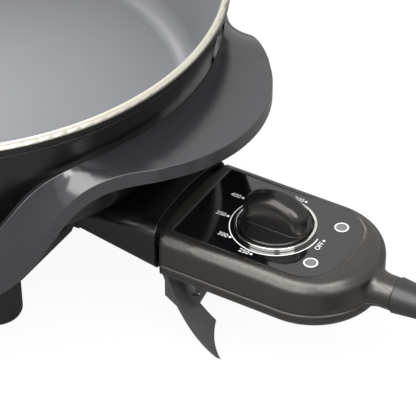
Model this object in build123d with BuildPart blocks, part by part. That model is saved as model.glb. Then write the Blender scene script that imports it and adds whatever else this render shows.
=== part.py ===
# Electric skillet: a round cast pan on a four-legged base with two wing handles,
# and a plug-in temperature control with its cord. Millimetres, +Z up.
# The origin is on the pan's axis, on the surface that the feet stand on.
# +X points from the pan towards the temperature control.

from build123d import *
import math
import os

# Shared clearances
cut_over = 1.0
half_turn = 180.0
seat_gap = 0.2
part_gap = 0.3
slide_gap = 0.075
shaft_gap = 0.05
trim_gap = 0.15

# Pan
rim_radius = 151.0
rim_land = 3.4
pan_depth = 72.0
pan_floor = 5.0
pan_rise = 14.8
bead_height = 7.0
bead_round = 1.8
bead_overhang = 2.2
groove_height = 0.8
shoulder_proud = 0.6
shoulder_height = 1.4
shoulder_slope = 0.7
wall_inset = 3.0
wall_run = 13.0
pan_corner = 16.0
pan_inner_corner = 12.0
pan_boss_x = 17.0
pan_boss_y = 36.0
pan_boss_radius = 6.0
pilot_radius = 1.7
pilot_depth = 8.0

# Heating element, sealed under the pan
element_inset = 55.0
element_tube = 3.25
element_drop = 3.5
element_turn_room = 14.8
element_bend = 7.0
ridge_width = 2.5
ridge_height = 6.0
ridge_open_inset = 14.0

# Terminals and sensor well, placed inwards from the rim
terminal_inset = 51.0
pin_spacing = 38.0
pin_radius = 2.375
pin_root = 2.0
pin_length = 38.0
pin_chamfer = 0.8
socket_drop = 14.0
element_fall_clear = 10.0
well_length = 36.0
well_width = 16.0
well_drop = 20.0
well_round = 3.0
rod_radius = 3.175
rod_depth = 26.0
rod_clear_end = 6.0
bushing_radius = 4.4
bushing_length = 8.0
terminal_plate_width = 56.0
terminal_plate_height = 19.0
terminal_plate_drop = 6.4
terminal_plate_thickness = 1.2
terminal_screw_spacing = 9.0
terminal_screw_rise = 7.0
terminal_rod_hole = 5.0

# Base tray under the pan
stand_height = 71.2
tray_gap = 1.5
tray_floor = 3.0
tray_front_clear = 6.0
tray_wall_drop = 3.2
tray_wall_height = 14.0
tray_wall_lean = 6.0
tray_wall = 3.0
tray_corner_clear = 15.5
tray_curb = 3.0
tray_curb_height = 4.0
tray_door_half = 42.0
tray_notch_clear = 12.0
tray_notch_half = 31.0
tray_pan_boss = 9.0
leg_boss_radius = 6.8
leg_boss_drop = 7.7

# Heat shield
shield_inset = 27.5
shield_end_inset = 6.0
shield_thickness = 0.8
shield_notch_half = 46.0
shield_notch_clear = 14.0
shield_bead_height = 0.8

# Wing handles, each with half of the skirt
wing_drop = 24.0
wing_tuck = 3.2
wing_arc = 75.0
wing_reach = 36.5
wing_plate = 4.0
wing_lip = 8.0
ribbon_start_angle = 16.0
band_end_angle = 89.9
band_clear = 1.0
band_rise = 16.0
band_thickness = 3.0
band_ledge = 14.0
band_lean = 0.4
wing_rib = 2.5
wing_rib_depth = 6.5
wing_rib_start = 4.0
wing_rib_end_inset = 12.0
wing_rib_angle = 12.0
handle_screw_inset = 4.5
handle_screw_angles = (60.0, 82.0)

# How the ribbon of the handle turns from the flat wing into the upright skirt, in
# even steps of angle. Radii go from the wing's edges (0) to the skirt (1), heights
# from the wing's top (0) to the skirt's edge (1), lips from the skirt's wall (0) to
# the wing's lip (1).
ribbon_end_angle = 54.0
ribbon_inner_radius_shares = (0.0, 0.0, 0.0, 0.03, 0.2, 0.5, 0.77, 0.94, 1.0, 1.0)
ribbon_inner_height_shares = (0.0, 0.0, 0.004, 0.022, 0.075, 0.19, 0.44, 0.76, 0.95, 1.0)
ribbon_outer_radius_shares = (0.0, 0.222, 0.468, 0.689, 0.869, 0.967, 0.996, 1.0, 1.0, 1.0)
ribbon_outer_height_shares = (0.0, 0.0, 0.025, 0.113, 0.291, 0.55, 0.77, 0.905, 0.978, 1.0)
ribbon_lip_shares = (1.0, 1.0, 1.03, 1.2, 1.55, 1.4, 0.75, 0.25, 0.05, 0.0)

# Terminal hood
hood_back_clear = 2.0
hood_front_clear = 3.0
hood_back_width = 76.0
hood_back_drop = 7.0
hood_back_rise = 12.0
hood_front_width = 70.0
hood_front_rise = 11.5
hood_round = 8.0
hood_wall = 2.4
hood_plate_reach = 12.0
hood_plate_half = 33.0
hood_plate_drop = 9.1
hood_plate_thickness = 2.5
hood_post_inset = 6.0
hood_post_radius = 4.5

# Legs and foot pads
leg_x = 61.0
leg_y = 50.0
leg_top_radius = 13.0
leg_foot_radius = 14.2
leg_low = 1.0
leg_edge = 3.5
leg_bore = 8.0
leg_seat_depth = 21.2
leg_socket_gap = 0.2
pad_radius = 7.6
pad_height = 6.0
pad_flange_radius = 9.5

# Screws
screw_radius = 1.6
screw_hole = 1.9
screw_head = 3.4
screw_head_height = 2.2
screw_slot = 0.9
screw_slot_depth = 1.0
small_screw_radius = 1.1
small_screw_hole = 1.3
small_screw_head = 2.2
small_screw_head_height = 1.3

# Control body, placed outwards from the rim
body_clear = 4.0
body_bow = 4.0
body_length = 104.5
body_half_width = 36.5
body_height = 27.5
body_pin_depth = 9.5
body_split_rise = 9.0
body_top_round = 7.5
body_bottom_round = 5.5
body_wall = 2.4
split_gap = 0.1
neck_radius = 8.7
neck_rise = 12.5
neck_reach = 11.5
flare_radius = 11.4
flare_start_inset = 9.5
flare_edge_inset = 2.5
flare_reach = 5.5
neck_bore = 5.4
nose_gap = 0.2
nose_opening_spare = 1.0

# Control panel on top of the body
panel_front_inset = 3.5
panel_tail_inset = 16.0
panel_side_inset = 7.5
panel_end_round = 19.0
panel_front_round = 1.5
panel_thickness = 1.0
panel_depth = 1.0
dial_share = 0.5035
light_tail_inset = 13.2
light_half_spacing = 16.1
light_hole = 3.0
light_lens = 2.85
light_proud = 0.4
light_flange = 3.8
light_flange_height = 0.8

# Dial ring and knob
ring_outer = 20.9
ring_inner = 18.7
ring_height = 2.2
ring_chamfer = 0.9
knob_lift = 0.5
knob_disc = 2.4
knob_edge = 0.6
grip_half_width = 7.0
grip_height = 20.2
grip_end_height = 11.0
grip_edge_gap = 0.3
grip_round = 5.5
knob_hub = 5.0
knob_hub_hole = 6.0
knob_bore_depth = 7.5
shaft_radius = 3.0
shaft_depth = 14.8
shaft_flat = 1.0
clip_outer = 5.0
clip_thickness = 0.8
clip_depth = 4.9
clip_groove = 0.5

# Thermostat inside the body, placed along it from the dial's axis
frame_depth = 9.5
frame_thickness = 1.2
frame_ahead = 23.3
frame_behind = 24.7
frame_half_width = 12.5
frame_post_x_offset = 17.0
frame_post_y = 8.5
frame_post_radius = 3.2
bush_radius = 5.0
bush_flange = 6.3
bush_flange_height = 1.0
bush_drop = 1.5
bush_rise = 2.6
blade_thickness = 0.5
blade_half_width = 4.0
blade_ahead = 15.3
lower_blade_ahead = 9.3
blade_end_inset = 1.0
blade_spacing = 4.0
stack_length = 11.0
stack_half_width = 4.5
contact_radius = 1.8
contact_height = 1.4
contact_inset = 3.5
rivet_radius = 1.2
rivet_hole = 1.3
rivet_head = 2.2
rivet_head_height = 0.9

# Sensor rod, receptacles and their block, placed from the body's front
rod_inside = 15.0
rod_collar = 5.0
rod_collar_length = 3.0
block_reach = 43.0
block_inside = 11.0
block_side = 10.0
block_drop = 5.2
block_rise = 5.8
block_round = 3.0
block_flange = 2.0
block_flange_side = 2.5
receptacle_outer = 4.0
receptacle_inset = 2.0
receptacle_length = 46.0
receptacle_seat = 8.0
block_flange_drop = 2.2

# Release lever, hung under the front of the body
lever_front_reach = 4.4
lever_top_drop = 6.2
lever_reach = 33.4
lever_drop = 45.4
lever_near = 24.0
lever_width = 12.0
lever_thickness = 2.6
lever_tip = 1.1
lever_curve_shares = ((0.0, 0.0), (0.175, 0.313), (0.35, 0.555), (0.62, 0.815), (1.0, 1.0))
lever_flare = 5.0
lever_flare_high = 27.6
lever_flare_low = 8.6
lever_tip_bow_shares = (0.42, 0.52)
lever_pivot_inset = 6.5
lever_pivot_drop = 18.5
lever_pin_radius = 1.6
lever_hub = 4.0
lever_web = 2.4
pin_head = 2.8
pin_head_height = 1.0
lever_gusset_front = 0.3
lever_gusset_fall = 16.2
lever_gusset_foot_ahead = 4.0
lever_gusset_foot_drop = 8.5
lever_web_top_behind = 11.9
lever_web_top_rise = 8.5
lever_web_foot_behind = 2.4
lever_web_foot_drop = 12.9
lever_slot_inner = 5.0
lever_slot_outer = 6.6
lever_slot_start = 262.0
lever_slot_sweep = 56.0
lever_hub_proud = 1.2
lever_under_shares = (0.0, 0.2, 0.4, 0.6, 0.8, 1.0)
ear_far = 3.4
ear_thickness = 5.0
ear_round = 4.4
ear_front_inset = 1.5
ear_length = 17.5
ear_rise = 1.5
spring_wire = 0.35
spring_radius = 2.05
spring_turns = 3
spring_pitch = 0.8
spring_arm = 3.0

# Small internals of the control
lamp_radius = 2.0
lamp_length = 5.5
lead_radius = 1.5
lead_bend = 5.0
lead_half_start = 3.0
lead_turn_inset = 13.5
lead_spread_inset = 33.5
lead_spread_rise = 2.5
lead_rise_inset = 27.0
lead_end_gap = 1.0
column_radius = 3.6
column_front_inset = 17.5
column_side_inset = 5.9
column_tail_behind = 17.0
column_tail_side_inset = 11.5
column_head_depth = 4.0
column_screw_rise = 8.0

# Strain relief
relief_flange = 7.4
relief_flange_length = 3.0
relief_flange_inset = 3.5
relief_base = 9.4
relief_end_radius = 4.7
relief_length = 45.0
relief_grooves = 4
relief_groove_width = 2.2
relief_groove_depth = 1.3
relief_groove_pitch = 6.0
relief_groove_start = 18.0

# Cord: a free lead, a put-away coil, a short tail and the plug
cord_radius = 3.5
lead_route = (
    (316.0, 0.0, 66.5),
    (336.0, 0.0, 66.5),
    (357.0, -3.0, 58.5),
    (375.0, -10.0, 43.0),
    (387.0, -23.0, 26.0),
    (391.0, -41.0, 12.0),
    (392.0, -62.0, 3.7),
    (392.0, -82.0, 3.7),
)
lead_bend_share = 0.45
coil_outer = 42.0
coil_pitch = 7.7
coil_turns = 3
coil_layer = 7.5
coil_straight = 7.0
coil_stations = 4
coil_samples = 12
tail_length = 34.0
plug_width = 26.0
plug_length = 30.0
plug_thickness = 22.4
plug_round = 4.0
plug_neck_radius = 6.0
plug_neck_length = 12.0
prong_width = 6.3
prong_thickness = 1.5
prong_length = 16.0
prong_spacing = 12.7

os.makedirs("parts", exist_ok=True)

# Heights worked out from the sizes above
tray_floor_low = stand_height
tray_floor_top = tray_floor_low + tray_floor
tray_wall_low = tray_floor_low - tray_wall_drop
tray_wall_high = tray_wall_low + tray_wall_height
pan_bottom = tray_floor_low + pan_rise
floor_top = pan_bottom + pan_floor
rim_top = floor_top + pan_depth
element_z = pan_bottom - element_drop
shield_low = tray_floor_top + shield_thickness + shield_bead_height
shield_top = shield_low + shield_thickness
wing_top = rim_top - wing_drop
band_top = pan_bottom + band_rise
band_bottom = tray_floor_low - seat_gap - band_thickness
band_edge = band_bottom + band_thickness
socket_height = pan_bottom - socket_drop
terminal_plate_low = socket_height - terminal_plate_drop
terminal_screw_height = socket_height + terminal_screw_rise
body_top = socket_height + body_pin_depth
body_bottom = body_top - body_height
body_split = body_bottom + body_split_rise
neck_height = body_bottom + neck_rise
block_low = socket_height - block_drop
block_high = socket_height + block_rise
hood_back_low = socket_height - hood_back_drop
hood_back_high = socket_height + hood_back_rise
hood_front_low = body_bottom
hood_front_high = socket_height + hood_front_rise
hood_plate_low = socket_height - hood_plate_drop
leg_top = tray_floor_low - seat_gap
leg_seat = tray_floor_low - leg_seat_depth
panel_low = body_top - panel_depth
cavity_top = body_top - panel_depth - body_wall
cavity_low = body_bottom + body_wall
frame_low = body_top - frame_depth
shaft_low = body_top - shaft_depth
clip_height = body_top - clip_depth
lever_top_z = body_bottom - lever_top_drop
lever_pivot_z = body_bottom - lever_pivot_drop
lead_spread_z = neck_height + lead_spread_rise

# Places worked out from the sizes above
groove_radius = rim_radius - bead_overhang
shoulder_radius = groove_radius + shoulder_proud
wall_top_radius = rim_radius - wall_inset
wall_foot_radius = wall_top_radius - wall_run
element_circle = wall_foot_radius - element_inset
ridge_open_x = element_circle - ridge_open_inset
band_radius = rim_radius + band_clear
tray_radius = band_radius - band_thickness - tray_gap
handle_screw_circle = tray_radius - handle_screw_inset
wing_inner = rim_radius - wing_tuck
wing_arc_centre = rim_radius + wing_reach - wing_arc
well_end = rim_radius - terminal_inset
well_start = well_end - well_length
rod_tip = well_end - rod_depth
pin_start = well_end - pin_root
pin_y = pin_spacing / 2
element_fall_end = well_end - element_fall_clear
tray_chord = well_end + tray_front_clear
tray_wall_half = math.sqrt(tray_radius ** 2 - tray_chord ** 2) - tray_corner_clear
tray_notch_start = well_start - tray_notch_clear
shield_radius = tray_radius - shield_inset
shield_half_length = tray_chord - shield_end_inset
shield_notch_start = well_start - shield_notch_clear
body_front = rim_radius + body_clear
body_end = body_front + body_length
body_end_centre = body_end - body_half_width
hood_back = well_end + hood_back_clear
hood_front = body_front - hood_front_clear
hood_plate_start = tray_notch_start - hood_plate_reach
neck_end = body_end + neck_reach
flare_start = body_end - flare_start_inset
flare_edge = body_end - flare_edge_inset
flare_end = body_end + flare_reach
panel_front = body_front + panel_front_inset
panel_end = body_end - panel_tail_inset
panel_half_width = body_half_width - panel_side_inset
dial_x = panel_front + (panel_end - panel_front) * dial_share
light_x = panel_end - light_tail_inset
knob_radius = ring_inner - 2 * seat_gap
frame_start = dial_x - frame_ahead
frame_end = dial_x + frame_behind
blade_start = dial_x - blade_ahead
lower_blade_start = dial_x - lower_blade_ahead
blade_end = frame_end - blade_end_inset
stack_start = blade_end - stack_length
rod_end = body_front + rod_inside
block_front = body_front - block_reach
block_end = body_front + block_inside
block_half_width = pin_y + block_side
block_flange_half = block_half_width + block_flange_side
receptacle_start = block_front + receptacle_inset
receptacle_end = receptacle_start + receptacle_length
lever_top_x = body_front - lever_front_reach
lever_pivot_x = body_front + lever_pivot_inset
ear_front = body_front + ear_front_inset
ear_back = ear_front + ear_length
lead_turn_x = body_end - lead_turn_inset
lead_spread_x = body_end - lead_spread_inset
lead_rise_x = body_front + lead_rise_inset
lead_end_x = receptacle_end - receptacle_seat + lead_end_gap
relief_flange_front = body_end - relief_flange_inset
pan_screw_places = [(sx * pan_boss_x, sy * pan_boss_y) for sx in (1, -1) for sy in (1, -1)]
leg_places = [(sx * leg_x, sy * leg_y) for sx in (1, -1) for sy in (1, -1)]
column_places = [
    (body_front + column_front_inset, body_half_width - column_side_inset),
    (body_front + column_front_inset, column_side_inset - body_half_width),
    (body_end_centre + column_tail_behind, body_half_width - column_tail_side_inset),
    (body_end_centre + column_tail_behind, column_tail_side_inset - body_half_width)]
across_x = Plane(origin=(0, 0, 0), x_dir=(0, 1, 0), z_dir=(1, 0, 0))


def save(part, node):
    """Labels a finished piece and writes it to its own file."""
    part.label = node
    export_step(part, "parts/" + node + ".step")


def nearest(vertices, x, y):
    """The sketch corner nearest to a place."""
    return vertices.sort_by_distance((x, y, 0))[0]


def upright_screws(places, head_low, length, shank=screw_radius, head=screw_head,
                   head_height=screw_head_height):
    """Screws that point up, with their heads below."""
    with BuildPart() as screws:
        with Locations(*[(x, y, head_low) for x, y in places]):
            Cylinder(head, head_height, align=(Align.CENTER, Align.CENTER, Align.MIN))
        with Locations(*[(x, y, head_low + head_height) for x, y in places]):
            Cylinder(shank, length, align=(Align.CENTER, Align.CENTER, Align.MIN))
        with Locations(*[(x, y, head_low) for x, y in places]):
            Box(head, screw_slot, screw_slot_depth,
                align=(Align.CENTER, Align.CENTER, Align.MIN), mode=Mode.SUBTRACT)
            Box(screw_slot, head, screw_slot_depth,
                align=(Align.CENTER, Align.CENTER, Align.MIN), mode=Mode.SUBTRACT)
    return screws.part


def biarc(start, start_dir, end, end_dir):
    """Two tangent arcs from one station to the next."""
    gap = end - start
    both = start_dir + end_dir
    lean = 2 * (1 - start_dir.dot(end_dir))
    reach = gap.dot(both)
    if lean < 1e-9:
        step = gap.dot(gap) / (2 * reach)
    else:
        step = (-reach + math.sqrt(reach * reach + lean * gap.dot(gap))) / lean
    middle = (start + start_dir * step + end - end_dir * step) / 2
    first = Edge.make_tangent_arc(start, start_dir, middle)
    return [first, Edge.make_tangent_arc(middle, first % 1, end)]


# Pan: one casting with a rolled rim, element channel, bosses and sensor well
bead_low = rim_top - bead_height
shoulder_top = bead_low - groove_height
shoulder_low = shoulder_top - shoulder_height
wall_lean = (wall_top_radius - wall_foot_radius) / (shoulder_low - pan_bottom)
inner_top_radius = rim_radius - rim_land
inner_foot_radius = inner_top_radius - wall_lean * (rim_top - floor_top)
groove_half = element_tube + part_gap
with BuildPart() as pan:
    with BuildSketch(Plane.XZ) as pan_profile:
        with BuildLine():
            Polyline(
                (0, pan_bottom),
                (wall_foot_radius, pan_bottom),
                (wall_top_radius, shoulder_low - shoulder_slope),
                (shoulder_radius, shoulder_low),
                (shoulder_radius, shoulder_top),
                (groove_radius, shoulder_top),
                (groove_radius, bead_low),
                (rim_radius, bead_low),
                (rim_radius, rim_top),
                (inner_top_radius, rim_top),
                (inner_foot_radius, floor_top),
                (0, floor_top),
                close=True,
            )
        make_face()
        corners = pan_profile.vertices()
        fillet(nearest(corners, wall_foot_radius, pan_bottom), pan_corner)
        fillet(nearest(pan_profile.vertices(), inner_foot_radius, floor_top), pan_inner_corner)
        fillet(nearest(pan_profile.vertices(), rim_radius, rim_top), bead_round)
        fillet(nearest(pan_profile.vertices(), rim_radius, bead_low), bead_round)
    revolve(axis=Axis.Z)
    with BuildSketch(Plane.XY.offset(pan_bottom)):
        Circle(element_circle + groove_half + ridge_width)
        Circle(element_circle - groove_half - ridge_width, mode=Mode.SUBTRACT)
        Circle(element_circle + groove_half, mode=Mode.SUBTRACT)
        Circle(element_circle - groove_half)
        Circle(element_circle - groove_half - ridge_width, mode=Mode.SUBTRACT)
        with Locations((ridge_open_x, 0)):
            Rectangle(rim_radius, rim_radius, align=(Align.MIN, Align.CENTER), mode=Mode.SUBTRACT)
    extrude(amount=-ridge_height)
    with BuildSketch(Plane.XY.offset(pan_bottom)):
        with Locations(*pan_screw_places):
            Circle(pan_boss_radius)
    extrude(amount=shield_top - pan_bottom)
    with BuildSketch(Plane.XY.offset(pan_bottom)):
        with Locations(((well_start + well_end) / 2, 0)):
            RectangleRounded(well_end - well_start, well_width, well_round)
    extrude(amount=-well_drop)
    with BuildSketch(Plane.XY.offset(shield_top)):
        with Locations(*pan_screw_places):
            Circle(pilot_radius)
    extrude(amount=pilot_depth, mode=Mode.SUBTRACT)
    with BuildSketch(across_x.offset(well_end)):
        with Locations((0, socket_height)):
            Circle(rod_radius + slide_gap)
    extrude(amount=rod_tip - rod_clear_end - well_end, mode=Mode.SUBTRACT)
    with BuildSketch(across_x.offset(well_end)):
        with Locations((terminal_screw_spacing / 2, terminal_screw_height),
                       (-terminal_screw_spacing / 2, terminal_screw_height)):
            Circle(small_screw_radius + shaft_gap)
    extrude(amount=-pilot_depth, mode=Mode.SUBTRACT)
save(pan.part, "pan")

# Heating element: a sheathed tube bent into an open ring, its ends led to the terminals
gap_angle = math.asin((pin_y + element_turn_room) / element_circle)
ring_end_x = element_circle * math.cos(gap_angle)
ring_end_y = element_circle * math.sin(gap_angle)
lead_out = (ring_end_y - pin_y) / math.cos(gap_angle)
knee_x = ring_end_x + lead_out * math.sin(gap_angle)
with BuildPart() as heating_element:
    with BuildLine() as element_path:
        CenterArc((0, 0, element_z), element_circle, math.degrees(gap_angle),
                  2 * (half_turn - math.degrees(gap_angle)))
        FilletPolyline(
            (ring_end_x, ring_end_y, element_z), (knee_x, pin_y, element_z),
            (element_fall_end, pin_y, socket_height), (pin_start, pin_y, socket_height),
            radius=element_bend)
        FilletPolyline(
            (ring_end_x, -ring_end_y, element_z), (knee_x, -pin_y, element_z),
            (element_fall_end, -pin_y, socket_height), (pin_start, -pin_y, socket_height),
            radius=element_bend)
    with BuildSketch(Plane(origin=(pin_start, -pin_y, socket_height), z_dir=(1, 0, 0))):
        Circle(element_tube)
    sweep(path=element_path.wires()[0])
save(heating_element.part, "heating_element")

with BuildPart() as terminal_pins:
    with BuildSketch(across_x.offset(pin_start)):
        with Locations((pin_y, socket_height), (-pin_y, socket_height)):
            Circle(pin_radius)
    extrude(amount=pin_length)
    chamfer(terminal_pins.faces().sort_by(Axis.X)[-2:].edges(), pin_chamfer)
save(terminal_pins.part, "terminal_pins")

bushing_start = pin_start + part_gap
with BuildPart() as terminal_bushings:
    with BuildSketch(across_x.offset(bushing_start)):
        with Locations((pin_y, socket_height), (-pin_y, socket_height)):
            Circle(bushing_radius)
            Circle(pin_radius + slide_gap, mode=Mode.SUBTRACT)
    extrude(amount=bushing_length)
save(terminal_bushings.part, "terminal_bushings")

plate_middle = terminal_plate_low + terminal_plate_height / 2
with BuildPart() as terminal_plate:
    with BuildSketch(across_x.offset(well_end)):
        with Locations((0, plate_middle)):
            RectangleRounded(terminal_plate_width, terminal_plate_height, well_round)
        with Locations((pin_y, socket_height), (-pin_y, socket_height)):
            Circle(bushing_radius + slide_gap, mode=Mode.SUBTRACT)
        with Locations((0, socket_height)):
            Circle(terminal_rod_hole, mode=Mode.SUBTRACT)
        with Locations((terminal_screw_spacing / 2, terminal_screw_height),
                       (-terminal_screw_spacing / 2, terminal_screw_height)):
            Circle(small_screw_hole, mode=Mode.SUBTRACT)
    extrude(amount=terminal_plate_thickness)
save(terminal_plate.part, "terminal_plate")

plate_face = well_end + terminal_plate_thickness
with BuildPart() as terminal_screws:
    with BuildSketch(across_x.offset(plate_face)):
        with Locations((terminal_screw_spacing / 2, terminal_screw_height),
                       (-terminal_screw_spacing / 2, terminal_screw_height)):
            Circle(small_screw_head)
    extrude(amount=small_screw_head_height)
    with BuildSketch(across_x.offset(plate_face)):
        with Locations((terminal_screw_spacing / 2, terminal_screw_height),
                       (-terminal_screw_spacing / 2, terminal_screw_height)):
            Circle(small_screw_radius)
    extrude(amount=-pilot_depth + cut_over)
save(terminal_screws.part, "terminal_screws")

# Base tray: floor, leaning front and back walls, screw bosses
handle_screw_places = [
    (sx * handle_screw_circle * math.cos(math.radians(angle)),
     sy * handle_screw_circle * math.sin(math.radians(angle)))
    for angle in handle_screw_angles for sx in (1, -1) for sy in (1, -1)]
hood_screw_places = [
    (hood_plate_start + hood_post_inset, side * (hood_plate_half - hood_post_inset))
    for side in (1, -1)]
with BuildPart() as base_tray:
    with BuildSketch(Plane.XY.offset(tray_floor_low)):
        Circle(tray_radius)
        Rectangle(2 * tray_chord, 2 * tray_radius, mode=Mode.INTERSECT)
    extrude(amount=tray_floor)
    with BuildSketch(Plane.XY.offset(tray_floor_top)):
        Circle(tray_radius)
        Circle(tray_radius - tray_curb, mode=Mode.SUBTRACT)
        Rectangle(2 * tray_chord, 2 * tray_radius, mode=Mode.INTERSECT)
    extrude(amount=tray_curb_height)
    with BuildSketch(Plane.XZ) as wall_profile:
        with BuildLine():
            Polyline(
                (tray_chord, tray_wall_low),
                (tray_chord + tray_wall_lean, tray_wall_high),
                (tray_chord + tray_wall_lean - tray_wall, tray_wall_high),
                (tray_chord - tray_wall, tray_wall_low),
                close=True,
            )
        make_face()
        mirror(about=Plane.YZ)
    extrude(amount=tray_wall_half, both=True)
    with BuildSketch(Plane.XY.offset(tray_floor_low)):
        with Locations(*leg_places):
            Circle(leg_boss_radius)
    extrude(amount=-leg_boss_drop)
    with BuildSketch(Plane.XY.offset(tray_floor_top)):
        with Locations(*pan_screw_places):
            Circle(tray_pan_boss)
    extrude(amount=shield_low - tray_floor_top)
    with BuildSketch(Plane.XY.offset(tray_wall_low - cut_over)):
        with Locations((tray_chord - 2 * tray_wall, 0)):
            Rectangle(3 * tray_wall + tray_wall_lean, 2 * tray_door_half,
                      align=(Align.MIN, Align.CENTER))
        with Locations((tray_notch_start, 0)):
            Rectangle(tray_chord, 2 * tray_notch_half, align=(Align.MIN, Align.CENTER))
    extrude(amount=tray_wall_high - tray_wall_low + 2 * cut_over, mode=Mode.SUBTRACT)
    with BuildSketch(Plane.XY.offset(tray_floor_low - cut_over)):
        with Locations(*handle_screw_places):
            Circle(screw_radius + shaft_gap)
    extrude(amount=tray_floor + 2 * cut_over, mode=Mode.SUBTRACT)
    with BuildSketch(Plane.XY.offset(tray_floor_low - leg_boss_drop)):
        with Locations(*leg_places):
            Circle(screw_radius + shaft_gap)
    extrude(amount=leg_boss_drop + tray_floor - cut_over, mode=Mode.SUBTRACT)
    with BuildSketch(Plane.XY.offset(tray_floor_low - cut_over)):
        with Locations(*pan_screw_places):
            Circle(screw_hole)
        with Locations(*hood_screw_places):
            Circle(screw_radius + shaft_gap)
    extrude(amount=tray_floor * 2 + tray_curb_height, mode=Mode.SUBTRACT)
save(base_tray.part, "base_tray")

# Heat shield: thin steel disc clamped between the pan's bosses and the tray's
with BuildPart() as heat_shield:
    with BuildSketch(Plane.XY.offset(shield_low)):
        Circle(shield_radius)
        Rectangle(2 * shield_half_length, 2 * shield_radius, mode=Mode.INTERSECT)
        with Locations((shield_notch_start, 0)):
            Rectangle(shield_radius, 2 * shield_notch_half, align=(Align.MIN, Align.CENTER),
                      mode=Mode.SUBTRACT)
        with Locations(*pan_screw_places):
            Circle(screw_hole, mode=Mode.SUBTRACT)
    extrude(amount=shield_thickness)
save(heat_shield.part, "heat_shield")

# Wing handles. Each is one moulding: a flat wing with a lip that twists at both
# ends into the upright skirt round the base.
wing_edge_radius = (
    wing_arc_centre * math.cos(math.radians(ribbon_start_angle))
    + math.sqrt(wing_arc ** 2 - (wing_arc_centre * math.sin(math.radians(ribbon_start_angle))) ** 2))


def between(first, last, share):
    """A value part of the way from one size to another."""
    return first + (last - first) * share


def ribbon_profile(step):
    """The corners of the ribbon's section at one step, as radius and height."""
    inner = Vector(between(wing_inner, band_radius, ribbon_inner_radius_shares[step]),
                   between(wing_top, band_top, ribbon_inner_height_shares[step]))
    outer = Vector(between(wing_edge_radius, band_radius, ribbon_outer_radius_shares[step]),
                   between(wing_top, band_edge, ribbon_outer_height_shares[step]))
    lip = between(band_thickness, wing_lip, ribbon_lip_shares[step])
    along = (outer - inner).normalized()
    under = Vector(along.Y, -along.X)
    wall = band_thickness
    lean = band_lean * (1 - along.X)
    return [
        inner,
        outer,
        outer - Vector(lean, lip),
        outer - Vector(lean + wall, lip),
        outer - Vector(wall, wall * along.X / (1 - along.Y)),
        inner + under * wall,
    ]


def upright_plane(angle):
    """A plane through the pan's axis, its x outwards at an angle and its y upwards."""
    turn = math.radians(angle)
    return Plane(origin=(0, 0, 0), x_dir=(math.cos(turn), math.sin(turn), 0),
                 z_dir=(math.sin(turn), -math.cos(turn), 0))


ribbon_steps = len(ribbon_lip_shares) - 1
wall_overlap = band_thickness / 2
with BuildPart() as front_handle:
    with BuildSketch(Plane.XY.offset(wing_top)) as wing_plan:
        with Locations((wing_arc_centre, 0)):
            Circle(wing_arc)
        Circle(wing_inner, mode=Mode.SUBTRACT)
        with BuildLine():
            Polyline(
                (0, 0),
                (2 * rim_radius, 2 * rim_radius * math.tan(math.radians(ribbon_start_angle))),
                (2 * rim_radius, -2 * rim_radius * math.tan(math.radians(ribbon_start_angle))),
                close=True,
            )
        make_face(mode=Mode.INTERSECT)
    extrude(amount=-wing_lip)
    with BuildSketch(Plane.XY.offset(wing_top - wing_plate)):
        with Locations((wing_arc_centre, 0)):
            Circle(wing_arc - band_thickness)
    extrude(amount=-wing_lip, mode=Mode.SUBTRACT)
    for side in (1, -1):
        for step in range(ribbon_steps + 1):
            angle = between(ribbon_start_angle, ribbon_end_angle, step / ribbon_steps)
            with BuildSketch(upright_plane(side * angle)):
                with BuildLine():
                    Polyline(*ribbon_profile(step), close=True)
                make_face()
        loft()
        with BuildSketch(upright_plane(side * ribbon_end_angle)):
            with BuildLine():
                Polyline(*ribbon_profile(ribbon_steps), close=True)
            make_face()
            with Locations((band_radius - wall_overlap, band_bottom)):
                Rectangle(band_ledge - wall_overlap, band_thickness,
                          align=(Align.MAX, Align.MIN))
        revolve(axis=Axis.Z, revolution_arc=side * (band_end_angle - ribbon_end_angle))
    with BuildSketch(Plane.XY.offset(wing_top - wing_plate)):
        with PolarLocations(0, 3, start_angle=-wing_rib_angle, angular_range=2 * wing_rib_angle,
                            endpoint=True):
            with Locations((wing_inner + wing_rib_start, 0)):
                Rectangle(wing_arc_centre + wing_arc - wing_rib_end_inset - wing_inner
                          - wing_rib_start, wing_rib, align=(Align.MIN, Align.CENTER))
    extrude(amount=-wing_rib_depth)
    with BuildSketch(Plane.XY.offset(band_bottom - cut_over)):
        with Locations(*[(x, y) for x, y in handle_screw_places if x > 0]):
            Circle(screw_hole)
    extrude(amount=band_thickness + 2 * cut_over, mode=Mode.SUBTRACT)
save(front_handle.part, "front_handle")

with BuildPart() as rear_handle:
    add(front_handle.part, rotation=(0, 0, half_turn))
save(rear_handle.part, "rear_handle")

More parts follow.
